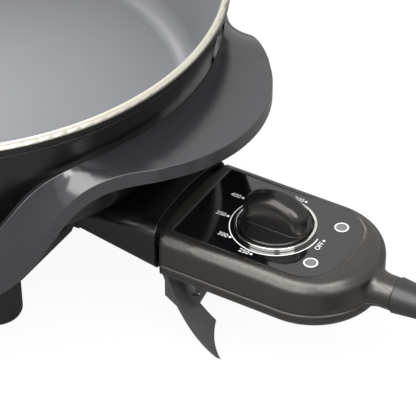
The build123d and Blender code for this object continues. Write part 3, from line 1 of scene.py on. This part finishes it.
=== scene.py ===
# Electric skillet on four legs, with its plug-in temperature control and cord.
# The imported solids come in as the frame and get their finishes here. The cord and the
# printed marks are modelled in this file.
import math
import bpy
import bmesh
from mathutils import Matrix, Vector


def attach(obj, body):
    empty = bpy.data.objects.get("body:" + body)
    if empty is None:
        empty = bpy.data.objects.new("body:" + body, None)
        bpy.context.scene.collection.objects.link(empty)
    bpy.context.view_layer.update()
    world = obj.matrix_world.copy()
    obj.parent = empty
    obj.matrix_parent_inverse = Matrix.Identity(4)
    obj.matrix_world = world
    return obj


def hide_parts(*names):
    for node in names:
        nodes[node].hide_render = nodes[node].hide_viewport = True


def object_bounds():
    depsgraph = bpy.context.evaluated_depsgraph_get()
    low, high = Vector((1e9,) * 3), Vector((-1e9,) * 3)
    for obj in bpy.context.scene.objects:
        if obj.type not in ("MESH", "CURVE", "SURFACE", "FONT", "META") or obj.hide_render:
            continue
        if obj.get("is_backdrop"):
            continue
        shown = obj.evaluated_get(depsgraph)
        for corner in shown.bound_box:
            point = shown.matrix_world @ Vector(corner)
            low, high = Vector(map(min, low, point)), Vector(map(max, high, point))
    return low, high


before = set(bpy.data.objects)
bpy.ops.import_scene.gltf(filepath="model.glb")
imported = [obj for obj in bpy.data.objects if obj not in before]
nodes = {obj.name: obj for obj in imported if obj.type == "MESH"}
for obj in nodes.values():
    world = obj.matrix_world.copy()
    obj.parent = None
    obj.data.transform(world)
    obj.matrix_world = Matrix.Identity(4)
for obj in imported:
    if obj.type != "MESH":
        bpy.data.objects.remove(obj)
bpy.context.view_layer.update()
mm = 0.001
print("frame loaded:", len(nodes), "nodes")


def toLinear(hexColour):
    channels = [int(hexColour[i:i + 2], 16) / 255 for i in (1, 3, 5)]
    return tuple(c / 12.92 if c <= 0.04045 else ((c + 0.055) / 1.055) ** 2.4
                 for c in channels) + (1.0,)


def addNode(tree, kind, inputs=None, **settings):
    # one node with its settings; an input is a value or a socket to link from
    node = tree.nodes.new(kind)
    for key, value in settings.items():
        setattr(node, key, value)
    for key, value in (inputs or {}).items():
        socket = node.inputs[key]
        if isinstance(value, bpy.types.NodeSocket):
            tree.links.new(value, socket)
        else:
            socket.default_value = value
    return node


def newMaterial(name):
    material = bpy.data.materials.new(name)
    material.use_nodes = True
    tree = material.node_tree
    return material, tree, tree.nodes["Principled BSDF"]


def addObject(name, data):
    added = bpy.data.objects.new(name, data)
    bpy.context.scene.collection.objects.link(added)
    return added


def aim(aimed, place, target):
    # at a place, looking at a target, upright
    aimed.location = place
    aimed.rotation_mode = "QUATERNION"
    aimed.rotation_quaternion = (Vector(target) - Vector(place)).to_track_quat("-Z", "Y")


def dress(material, names):
    for name in names:
        slots = nodes[name].material_slots
        for slot in slots:
            slot.material = material
        if not slots:
            nodes[name].data.materials.append(material)


# Camera, fitted to the photograph's frame
camera = {
    "target": (0.1619, 0.0, 0.0772),
    "azimuth": 30.7,
    "elevation": 38.4,
    "distance": 1.25,
    "lens": 212.5, "sensor": 36.0,      # mm
    "nearest": 0.05, "farthest": 50.0,
}
azimuth = math.radians(camera["azimuth"])
elevation = math.radians(camera["elevation"])
towardsCamera = Vector((math.sin(azimuth) * math.cos(elevation),
                        -math.cos(azimuth) * math.cos(elevation), math.sin(elevation)))
cameraData = bpy.data.cameras.new("camera")
cameraData.lens = camera["lens"]
cameraData.sensor_width = camera["sensor"]
cameraData.clip_start = camera["nearest"]
cameraData.clip_end = camera["farthest"]
cameraObject = addObject("camera", cameraData)
target = Vector(camera["target"])
aim(cameraObject, target + towardsCamera * camera["distance"], target)
bpy.context.scene.camera = cameraObject
bpy.context.scene.view_settings.view_transform = "Standard"

# Studio: a pale sweep, an even white room in the reflections, and soft boxes around it
studio = {
    "ambient": 0.6,         # the room's light on matt surfaces; 1 where it is seen
    "lamps": {
        # name: place, aim, size in metres, watts
        "keySoftbox": ((-0.1, -0.92, 1.2), (0.15, 0.0, 0.08), (1.9, 1.5), 46.0),
        "rightSoftbox": ((0.94, -0.39, 0.98), (0.24, 0.0, 0.07), (0.7, 0.6), 10.0),
        "backSoftbox": ((-0.75, 0.5, 0.72), (-0.05, 0.0, 0.09), (0.5, 0.7), 11.0),
    },
}
world = bpy.data.worlds.new("whiteRoom")
bpy.context.scene.world = world
world.use_nodes = True
worldTree = world.node_tree
background = worldTree.nodes["Background"]
path = addNode(worldTree, "ShaderNodeLightPath")
seen = path.outputs["Is Camera Ray"]
for ray in ("Is Glossy Ray", "Is Transmission Ray"):
    seen = addNode(worldTree, "ShaderNodeMath", {0: seen, 1: path.outputs[ray]},
                   operation="MAXIMUM").outputs[0]
level = addNode(worldTree, "ShaderNodeMapRange", {"Value": seen, "To Min": studio["ambient"]})
worldTree.links.new(level.outputs[0], background.inputs["Strength"])
background.inputs["Color"].default_value = (1, 1, 1, 1)

for name, (place, lampTarget, size, watts) in studio["lamps"].items():
    lamp = bpy.data.lights.new(name, "AREA")
    lamp.shape = "RECTANGLE"
    lamp.size, lamp.size_y = size
    lamp.energy = watts
    aim(addObject(name, lamp), place, lampTarget)

# Matt white paper, unglazed: an even ground with a faint tooth and no sheen
paper = {
    "size": 8.0,
    "colour": "#e9e9e9", "tooth": "#efefef", "toothSize": 2.5,     # mm, coarse to show
    "roughness": 0.9, "specular": 0.1,
    "glow": 0.93,           # how far the ground is lifted to white where it is seen
    # the ground in reflections is a darker grey than the paper: painted shade on the floor round
    # the object
    "mirroredShade": "#7a7a7a",  # the ground as the glossy pieces mirror it
}
half = paper["size"] / 2
floorMesh = bpy.data.meshes.new("floor")
floorMesh.from_pydata([(-half, -half, 0), (half, -half, 0), (half, half, 0), (-half, half, 0)],
                      [], [(0, 1, 2, 3)])
floorObject = addObject("floor", floorMesh)
paperSweep, tree, shader = newMaterial("paperSweep")
shader.inputs["Roughness"].default_value = paper["roughness"]
shader.inputs["Specular IOR Level"].default_value = paper["specular"]
tooth = addNode(tree, "ShaderNodeTexNoise", {"Scale": 1 / (paper["toothSize"] * mm)})
tone = addNode(tree, "ShaderNodeMix", {"Factor": tooth.outputs["Fac"],
               "A": toLinear(paper["colour"]), "B": toLinear(paper["tooth"])},
               data_type="RGBA")
tree.links.new(tone.outputs["Result"], shader.inputs["Base Color"])
path = addNode(tree, "ShaderNodeLightPath")
glow = addNode(tree, "ShaderNodeEmission", {"Strength": 1.0})
share = addNode(tree, "ShaderNodeMath", {0: path.outputs["Is Camera Ray"], 1: paper["glow"]},
                operation="MULTIPLY")
lit = addNode(tree, "ShaderNodeMixShader", {0: share.outputs[0], 1: shader.outputs[0],
              2: glow.outputs[0]})
# for glossy rays the paper gives way to this darker grey, painted shade in what the pieces mirror
mirroredShade = addNode(tree, "ShaderNodeBsdfDiffuse", {"Color": toLinear(paper["mirroredShade"])})
mix = addNode(tree, "ShaderNodeMixShader", {0: path.outputs["Is Glossy Ray"],
              1: lit.outputs[0], 2: mirroredShade.outputs[0]})
tree.links.new(mix.outputs[0], tree.nodes["Material Output"].inputs["Surface"])
floorMesh.materials.append(paperSweep)
floorObject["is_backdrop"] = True
print("studio ready")

# Cord: the same route as the solid tube, one smooth line with its coil, in mm
cord = {
    "diameter": 7.0,
    "lead": [(316.0, 0.0, 66.5), (336.0, 0.0, 66.5), (357.0, -3.0, 58.5), (375.0, -10.0, 43.0),
             (387.0, -23.0, 26.0), (391.0, -41.0, 12.0), (392.0, -62.0, 3.7),
             (392.0, -82.0, 3.7)],
    "coilStraight": 7.0,
    "coilOuter": 42.0,
    "coilPitch": 7.7,
    "coilTurns": 3,
    "coilLayer": 7.5,
    "pointsPerTurn": 16,
    "tail": 34.0,
    "length": 888.0,
    "order": 3, "roundSteps": 6, "lineSteps": 8,
}
route = [Vector(point) for point in cord["lead"]]
coilStart = route[-1] + Vector((0, -cord["coilStraight"], 0))
coilCentre = coilStart - Vector((cord["coilOuter"], 0, 0))
spiralHalf = cord["coilTurns"] * math.pi
steps = cord["coilTurns"] * cord["pointsPerTurn"]
# a smooth line runs a little inside its points, so these lie that much further out
outside = 1 / ((3 + math.cos(2 * math.pi / cord["pointsPerTurn"])) / 4)
for step in range(steps + 1):
    turn = -spiralHalf + 2 * spiralHalf * step / steps
    radius = cord["coilOuter"] - cord["coilPitch"] * (spiralHalf - abs(turn)) / (2 * math.pi)
    climb = min(max(turn, -math.pi / 2), math.pi / 2)
    rise = cord["coilLayer"] * (1 + math.sin(climb)) / 2
    angle = -(turn + spiralHalf)
    route.append(coilCentre + Vector((math.cos(angle), math.sin(angle), 0)) * radius * outside
                 + Vector((0, 0, rise)))
tailStart = coilStart + Vector((0, -cord["coilStraight"], cord["coilLayer"]))
for gone in (0, 0.5, 1):
    route.append(tailStart + Vector((0, -cord["tail"] * gone, 0)))
cordCurve = bpy.data.curves.new("cord", "CURVE")
cordCurve.dimensions = "3D"
spline = cordCurve.splines.new("NURBS")
spline.points.add(len(route) - 1)
for point, place in zip(spline.points, route):
    point.co = (*(place * mm), 1)
    point.radius = cord["diameter"] / 2 * mm      # the curve's own box is read from these
spline.order_u = cord["order"]
spline.use_endpoint_u = True
cordCurve.bevel_depth = 1.0
cordCurve.bevel_resolution = cord["roundSteps"]
cordCurve.resolution_u = cord["lineSteps"]
cordCurve.use_fill_caps = True
cordObject = addObject("cord", cordCurve)
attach(cordObject, "control")
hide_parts("cord_lead", "cord_coil", "cord_tail")
print("cord laid")

# Finishes: lengths in mm; an edge is a corner's soft radius, which catches the light
edgeSamples = 8

# Phenolic resin, hot pressed in a polished mould: wet-looking black, faint orange peel; one resin
# in two tones, a lighter black as painted sheen and a darker black as painted shade
phenolic = {
    "wear": 18.0, "wearDetail": 4.0, "roughness": (0.17, 0.23),
    "peel": 2.5, "peelStrength": 0.02, "peelDepth": 0.1,
    "edge": 0.7,
    "pieces": {
        # name: colour, IOR, the nodes that are pressed in it
        # handles: the resin black lifted towards grey, a painted sheen for the grey their tops
        # mirror
        "phenolicBlackPaintedSheen": ("#232326", 1.7, ["front_handle", "rear_handle"]),
        # hood and tray: a darker copy of the same black, painted shade under the handle and the
        # pan
        "phenolicBlackPaintedShade": ("#0a0a0b", 1.5, ["terminal_hood", "base_tray"]),
    },
}
for name, (colour, ior, worn) in phenolic["pieces"].items():
    material, tree, shader = newMaterial(name)
    shader.inputs["Base Color"].default_value = toLinear(colour)
    shader.inputs["IOR"].default_value = ior
    place = addNode(tree, "ShaderNodeTexCoord").outputs["Object"]
    wear = addNode(tree, "ShaderNodeTexNoise", {"Vector": place,
                   "Scale": 1 / (phenolic["wear"] * mm), "Detail": phenolic["wearDetail"]})
    rough = addNode(tree, "ShaderNodeMapRange", {"Value": wear.outputs["Fac"],
                    "To Min": phenolic["roughness"][0], "To Max": phenolic["roughness"][1]})
    tree.links.new(rough.outputs[0], shader.inputs["Roughness"])
    peel = addNode(tree, "ShaderNodeTexNoise", {"Vector": place,
                   "Scale": 1 / (phenolic["peel"] * mm)})
    soft = addNode(tree, "ShaderNodeBevel", {"Radius": phenolic["edge"] * mm},
                   samples=edgeSamples)
    bump = addNode(tree, "ShaderNodeBump", {"Strength": phenolic["peelStrength"],
                   "Distance": phenolic["peelDepth"] * mm, "Height": peel.outputs["Fac"],
                   "Normal": soft.outputs[0]})
    tree.links.new(bump.outputs[0], shader.inputs["Normal"])
    dress(material, worn)

# Metallic paint, sprayed on the housing: a warm charcoal with a pearly bloom on its rounds
housing = {
    "colour": "#454341", "fleck": "#726d66",
    "fleckSize": 0.22,          # real flakes are some 0.05 mm, drawn coarser to show
    "fleckFrom": 0.55, "fleckTo": 0.95, "fleckShare": 0.6,
    "metallic": 0.85, "roughness": 0.27,
    "fleckStrength": 0.06, "fleckDepth": 0.03, "edge": 4.0,
}
charcoalPaint, tree, shader = newMaterial("metallicPaintCharcoal")
place = addNode(tree, "ShaderNodeTexCoord").outputs["Object"]
flakes = addNode(tree, "ShaderNodeTexVoronoi", {"Vector": place,
                 "Scale": 1 / (housing["fleckSize"] * mm)})
pick = addNode(tree, "ShaderNodeMapRange", {"Value": flakes.outputs["Color"],
               "From Min": housing["fleckFrom"], "From Max": housing["fleckTo"],
               "To Max": housing["fleckShare"]})
tone = addNode(tree, "ShaderNodeMix", {"Factor": pick.outputs[0],
               "A": toLinear(housing["colour"]), "B": toLinear(housing["fleck"])},
               data_type="RGBA")
tree.links.new(tone.outputs["Result"], shader.inputs["Base Color"])
shader.inputs["Metallic"].default_value = housing["metallic"]
shader.inputs["Roughness"].default_value = housing["roughness"]
soft = addNode(tree, "ShaderNodeBevel", {"Radius": housing["edge"] * mm}, samples=edgeSamples)
bump = addNode(tree, "ShaderNodeBump", {"Strength": housing["fleckStrength"],
               "Distance": housing["fleckDepth"] * mm, "Height": flakes.outputs["Distance"],
               "Normal": soft.outputs[0]})
tree.links.new(bump.outputs[0], shader.inputs["Normal"])
dress(charcoalPaint, ["probe_upper_housing", "probe_lower_housing"])

# Acrylic sheet, cast and printed black behind: a deep black that mirrors the room
panel = {
    "colour": "#070708", "haze": "#0c0c0e",
    "hazeSize": 9.0, "hazeDetail": 3.0,
    "roughness": (0.04, 0.08), "ior": 1.8,
}
acrylicPanel, tree, shader = newMaterial("acrylicPanelBlack")
shader.inputs["IOR"].default_value = panel["ior"]
haze = addNode(tree, "ShaderNodeTexNoise", {
               "Vector": addNode(tree, "ShaderNodeTexCoord").outputs["Object"],
               "Scale": 1 / (panel["hazeSize"] * mm), "Detail": panel["hazeDetail"]})
tone = addNode(tree, "ShaderNodeMix", {"Factor": haze.outputs["Fac"],
               "A": toLinear(panel["colour"]), "B": toLinear(panel["haze"])},
               data_type="RGBA")
tree.links.new(tone.outputs["Result"], shader.inputs["Base Color"])
rough = addNode(tree, "ShaderNodeMapRange", {"Value": haze.outputs["Fac"],
                "To Min": panel["roughness"][0], "To Max": panel["roughness"][1]})
tree.links.new(rough.outputs[0], shader.inputs["Roughness"])
dress(acrylicPanel, ["control_panel"])

# Chrome, plated on plastic: a bright line round the dial, with faint rub marks
chrome = {
    "colour": "#dddcd8", "metallic": 1.0,
    "rub": 3.0, "rubDetail": 5.0, "roughness": (0.08, 0.16),
    "edge": 0.8,
}
chromePlating, tree, shader = newMaterial("chromePlating")
shader.inputs["Base Color"].default_value = toLinear(chrome["colour"])
shader.inputs["Metallic"].default_value = chrome["metallic"]
rub = addNode(tree, "ShaderNodeTexNoise", {
              "Vector": addNode(tree, "ShaderNodeTexCoord").outputs["Object"],
              "Scale": 1 / (chrome["rub"] * mm), "Detail": chrome["rubDetail"]})
rough = addNode(tree, "ShaderNodeMapRange", {"Value": rub.outputs["Fac"],
                "To Min": chrome["roughness"][0], "To Max": chrome["roughness"][1]})
tree.links.new(rough.outputs[0], shader.inputs["Roughness"])
soft = addNode(tree, "ShaderNodeBevel", {"Radius": chrome["edge"] * mm}, samples=edgeSamples)
tree.links.new(soft.outputs[0], shader.inputs["Normal"])
dress(chromePlating, ["dial_ring"])

# Cast aluminium, sprayed with non-stick: matt grey inside, glossier black outside, and a
# bare turned edge round the rim
pan = {
    "inside": "#595a5d", "speckled": "#626366", "outside": "#0c0b0a", "edge": "#d8d3c6",
    "rimTop": 163.0, "rimDepth": 2.4, "rimInner": 147.9,
    "inwards": -0.0001,     # a face that looks towards the axis more than this is inside
    "upwards": 0.5,         # and so is one that looks up more than this
    "speck": 0.8, "speckDetail": 2.0, "speckStrength": 0.05, "speckDepth": 0.05,
    "roughInside": 0.42, "roughOutside": 0.27, "roughEdge": 0.28,
}
nonstick, tree, shader = newMaterial("nonstickCastAluminium")
place = addNode(tree, "ShaderNodeTexCoord").outputs["Object"]
split = addNode(tree, "ShaderNodeSeparateXYZ", {0: place})
outwards = addNode(tree, "ShaderNodeCombineXYZ", {0: split.outputs[0], 1: split.outputs[1]})
radius = addNode(tree, "ShaderNodeVectorMath", {0: outwards.outputs[0]}, operation="LENGTH")
geometry = addNode(tree, "ShaderNodeNewGeometry")
facing = addNode(tree, "ShaderNodeVectorMath", {0: geometry.outputs["Normal"],
                 1: outwards.outputs[0]}, operation="DOT_PRODUCT")
up = addNode(tree, "ShaderNodeSeparateXYZ", {0: geometry.outputs["Normal"]})
looksIn = addNode(tree, "ShaderNodeMath", {0: facing.outputs["Value"], 1: pan["inwards"]},
                  operation="LESS_THAN")
looksUp = addNode(tree, "ShaderNodeMath", {0: up.outputs[2], 1: pan["upwards"]},
                  operation="GREATER_THAN")
inner = addNode(tree, "ShaderNodeMath", {0: looksIn.outputs[0], 1: looksUp.outputs[0]},
                operation="MAXIMUM")
beyond = addNode(tree, "ShaderNodeMath", {0: radius.outputs["Value"],
                 1: pan["rimInner"] * mm}, operation="GREATER_THAN")
high = addNode(tree, "ShaderNodeMath", {0: split.outputs[2],
               1: (pan["rimTop"] - pan["rimDepth"]) * mm}, operation="GREATER_THAN")
bare = addNode(tree, "ShaderNodeMath", {0: beyond.outputs[0], 1: high.outputs[0]},
               operation="MULTIPLY")
specks = addNode(tree, "ShaderNodeTexNoise", {"Vector": place,
                 "Scale": 1 / (pan["speck"] * mm), "Detail": pan["speckDetail"]})
speckTone = addNode(tree, "ShaderNodeMix", {"Factor": specks.outputs["Fac"],
                    "A": toLinear(pan["inside"]), "B": toLinear(pan["speckled"])},
                    data_type="RGBA")
coatTone = addNode(tree, "ShaderNodeMix", {"Factor": inner.outputs[0],
                   "A": toLinear(pan["outside"]), "B": speckTone.outputs["Result"]},
                   data_type="RGBA")
tone = addNode(tree, "ShaderNodeMix", {"Factor": bare.outputs[0],
               "A": coatTone.outputs["Result"], "B": toLinear(pan["edge"])}, data_type="RGBA")
tree.links.new(tone.outputs["Result"], shader.inputs["Base Color"])
tree.links.new(bare.outputs[0], shader.inputs["Metallic"])
coatRough = addNode(tree, "ShaderNodeMapRange", {"Value": inner.outputs[0],
                    "To Min": pan["roughOutside"], "To Max": pan["roughInside"]})
rough = addNode(tree, "ShaderNodeMix", {"Factor": bare.outputs[0],
                "A": coatRough.outputs[0], "B": pan["roughEdge"]}, data_type="FLOAT")
tree.links.new(rough.outputs["Result"], shader.inputs["Roughness"])
bump = addNode(tree, "ShaderNodeBump", {"Strength": pan["speckStrength"],
               "Distance": pan["speckDepth"] * mm, "Height": specks.outputs["Fac"]})
tree.links.new(bump.outputs[0], shader.inputs["Normal"])
dress(nonstick, ["pan"])

# Plain finishes, one grain each; the spread is what the grain adds to the roughness
grained = {"detail": 4.0, "shade": 0.82, "strength": 0.15}
usual = {"spread": 0.08, "depth": 0.04, "edge": 0.3}
plainFinishes = {
    # name: colour, metallic, roughness, grain in mm, what differs, nodes
    # metallic paint, sprayed thin and smooth: a dark knob with soft streaks of light
    "metallicPaintSmooth": ("#3a3938", 0.85, 0.22, 0.5,
                            {"spread": 0.05, "depth": 0.004, "edge": 0.8}, ["knob"]),
    # phenolic resin, pressed in a satin mould: duller than the handles
    "phenolicSatinBlack": ("#1f1f20", 0.0, 0.3, 0.6, {},
                           ["leg_front_left", "leg_front_right", "leg_rear_left",
                            "leg_rear_right", "receptacle_block"]),
    # glass-filled nylon, moulded: a greyer, drier black
    "glassFilledNylonBlack": ("#3d3d3e", 0.0, 0.36, 0.6, {}, ["release_lever"]),
    # thermoplastic rubber, moulded over the cord: one soft highlight along it
    "thermoplasticBootBlack": ("#1f1f20", 0.0, 0.33, 0.8, {}, ["strain_relief"]),
    # PVC, drawn over the wires: an even half-matt black
    "pvcSheathBlack": ("#1a1a1b", 0.0, 0.42, 0.8, {}, ["plug_body", "power_leads"]),
    # silicone rubber, moulded: nearly no shine
    "siliconeRubberBlack": ("#121212", 0.0, 0.6, 0.5, {}, ["foot_pads"]),
    # stainless steel, turned: cool and bright, with a fine blur
    "stainlessSteelTurned": ("#b9bbbd", 1.0, 0.25, 0.3, {},
                             ["heating_element", "terminal_pins", "terminal_plate",
                              "terminal_screws", "leg_screws", "pan_screws", "handle_screws",
                              "hood_screws", "knob_clip", "thermostat_frame", "frame_screws",
                              "stack_rivet", "sensor_rod", "lever_pin", "lever_spring",
                              "housing_screws"]),
    # aluminium, rolled sheet: pale, with a broad blur
    "aluminiumSheetRolled": ("#c9cacb", 1.0, 0.35, 0.5, {}, ["heat_shield"]),
    # brass, pressed from strip: warm yellow
    "brassSheetPressed": ("#c8a55a", 1.0, 0.25, 0.4, {},
                          ["knob_shaft", "shaft_bush", "upper_contact_blade",
                           "lower_contact_blade", "receptacles", "plug_prongs"]),
    # steatite, fired and unglazed: a chalky cream
    "steatiteFired": ("#e8e2d2", 0.0, 0.5, 0.4, {}, ["terminal_bushings", "contact_spacers"]),
    # polycarbonate, moulded milky: a grey dot while the lamp behind it is off
    "polycarbonateLensMilky": ("#6b6a69", 0.0, 0.25, 1.2, {}, ["power_lens", "ready_lens"]),
    # glass, blown: a smooth amber bead
    "neonLampGlass": ("#d9b79a", 0.0, 0.12, 1.5, {}, ["indicator_lamps"]),
    # ink, screen printed: flat white, dry to the eye
    "screenPrintInkWhite": ("#f2f2f0", 0.0, 0.5, 0.3, {}, []),
}
plain = {}
for name, (colour, metallic, roughness, grainSize, differs, worn) in plainFinishes.items():
    own = {**usual, **differs}
    plain[name], tree, shader = newMaterial(name)
    grain = addNode(tree, "ShaderNodeTexNoise", {
                    "Vector": addNode(tree, "ShaderNodeTexCoord").outputs["Object"],
                    "Scale": 1 / (grainSize * mm), "Detail": grained["detail"]})
    base = toLinear(colour)
    darker = tuple(c * grained["shade"] for c in base[:3]) + (1.0,)
    tone = addNode(tree, "ShaderNodeMix", {"Factor": grain.outputs["Fac"], "A": darker,
                   "B": base}, data_type="RGBA")
    tree.links.new(tone.outputs["Result"], shader.inputs["Base Color"])
    shader.inputs["Metallic"].default_value = metallic
    rough = addNode(tree, "ShaderNodeMapRange", {"Value": grain.outputs["Fac"],
                    "To Min": roughness, "To Max": roughness + own["spread"]})
    tree.links.new(rough.outputs[0], shader.inputs["Roughness"])
    soft = addNode(tree, "ShaderNodeBevel", {"Radius": own["edge"] * mm}, samples=edgeSamples)
    bump = addNode(tree, "ShaderNodeBump", {"Strength": grained["strength"],
                   "Distance": own["depth"] * mm, "Height": grain.outputs["Fac"],
                   "Normal": soft.outputs[0]})
    tree.links.new(bump.outputs[0], shader.inputs["Normal"])
    dress(plain[name], worn)
cordCurve.materials.append(plain["pvcSheathBlack"])
whiteInk = plain["screenPrintInkWhite"]
print("finishes on")

# Printed marks on the panel, in white ink; places and sizes in mm
marks = {
    "top": 81.5,
    "ink": 0.06,
    "dial": (201.3, 0.0),
    "arcRadius": 23.2, "arcWidth": 0.55, "arcStart": 160.0, "arcEnd": 364.5,
    # number, place of its dot, turn of the line it is written on; it ends at the dot
    "numbers": [("200", (205.0, 25.0), 0), ("400", (175.8, 11.5), 0), ("350", (176.7, -5.1), 0),
                ("300", (186.0, -19.1), 0), ("250", (201.7, -25.3), 0), ("OFF", (227.8, 2.1), 90)],
    "textSize": 3.8, "dotRadius": 0.75, "dotHole": 0.05, "textGap": 1.3,
    "lights": [(230.3, 16.1), (230.3, -16.1)], "lightInner": 2.9, "lightOuter": 3.7,
    "stepAngle": 4, "fewestSteps": 12,
}


def inkRing(mesh, centre, inner, outer, start, end, low, high):
    # a flat band between two radii, closed above and below
    count = max(marks["fewestSteps"], int(abs(end - start) / marks["stepAngle"]))
    whole = abs(end - start) >= 360
    rows = []
    for step in range(count if whole else count + 1):
        angle = math.radians(start + (end - start) * step / count)
        across = Vector((math.cos(angle), math.sin(angle), 0))
        rows.append([mesh.verts.new((Vector((*centre, z)) + across * r) * mm)
                     for r, z in ((inner, low), (outer, low), (outer, high), (inner, high))])
    pairs = list(zip(rows, rows[1:])) + ([(rows[-1], rows[0])] if whole else [])
    for here, there in pairs:
        for side in range(4):
            mesh.faces.new((here[side], here[(side + 1) % 4], there[(side + 1) % 4], there[side]))
    if not whole:
        mesh.faces.new(rows[0])
        mesh.faces.new(rows[-1][::-1])


inkMesh = bmesh.new()
low, high = marks["top"], marks["top"] + marks["ink"]
inkRing(inkMesh, marks["dial"], marks["arcRadius"] - marks["arcWidth"] / 2,
        marks["arcRadius"] + marks["arcWidth"] / 2, marks["arcStart"], marks["arcEnd"], low, high)
for light in marks["lights"]:
    inkRing(inkMesh, light, marks["lightInner"], marks["lightOuter"], 0, 360, low, high)
for _, dot, _ in marks["numbers"]:
    inkRing(inkMesh, dot, marks["dotHole"], marks["dotRadius"], 0, 360, low, high)
bmesh.ops.recalc_face_normals(inkMesh, faces=inkMesh.faces)
inkData = bpy.data.meshes.new("panelMarks")
inkMesh.to_mesh(inkData)
inkMesh.free()
inkObject = addObject("panelMarks", inkData)
inkData.materials.append(whiteInk)
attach(inkObject, "control")

for text, (dotX, dotY), turned in marks["numbers"]:
    letters = bpy.data.curves.new("number" + text, "FONT")
    letters.body = text
    letters.size = marks["textSize"] * mm
    letters.extrude = marks["ink"] / 2 * mm
    letters.align_x = "RIGHT"
    letters.align_y = "CENTER"
    lettersObject = addObject("number" + text, letters)
    line = Vector((math.cos(math.radians(turned)), math.sin(math.radians(turned)), 0))
    lettersObject.location = (Vector((dotX, dotY, marks["top"] + marks["ink"] / 2))
                              - line * marks["textGap"]) * mm
    lettersObject.rotation_euler[2] = math.radians(turned)
    letters.materials.append(whiteInk)
    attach(lettersObject, "control")
print("marks printed")

low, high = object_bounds()
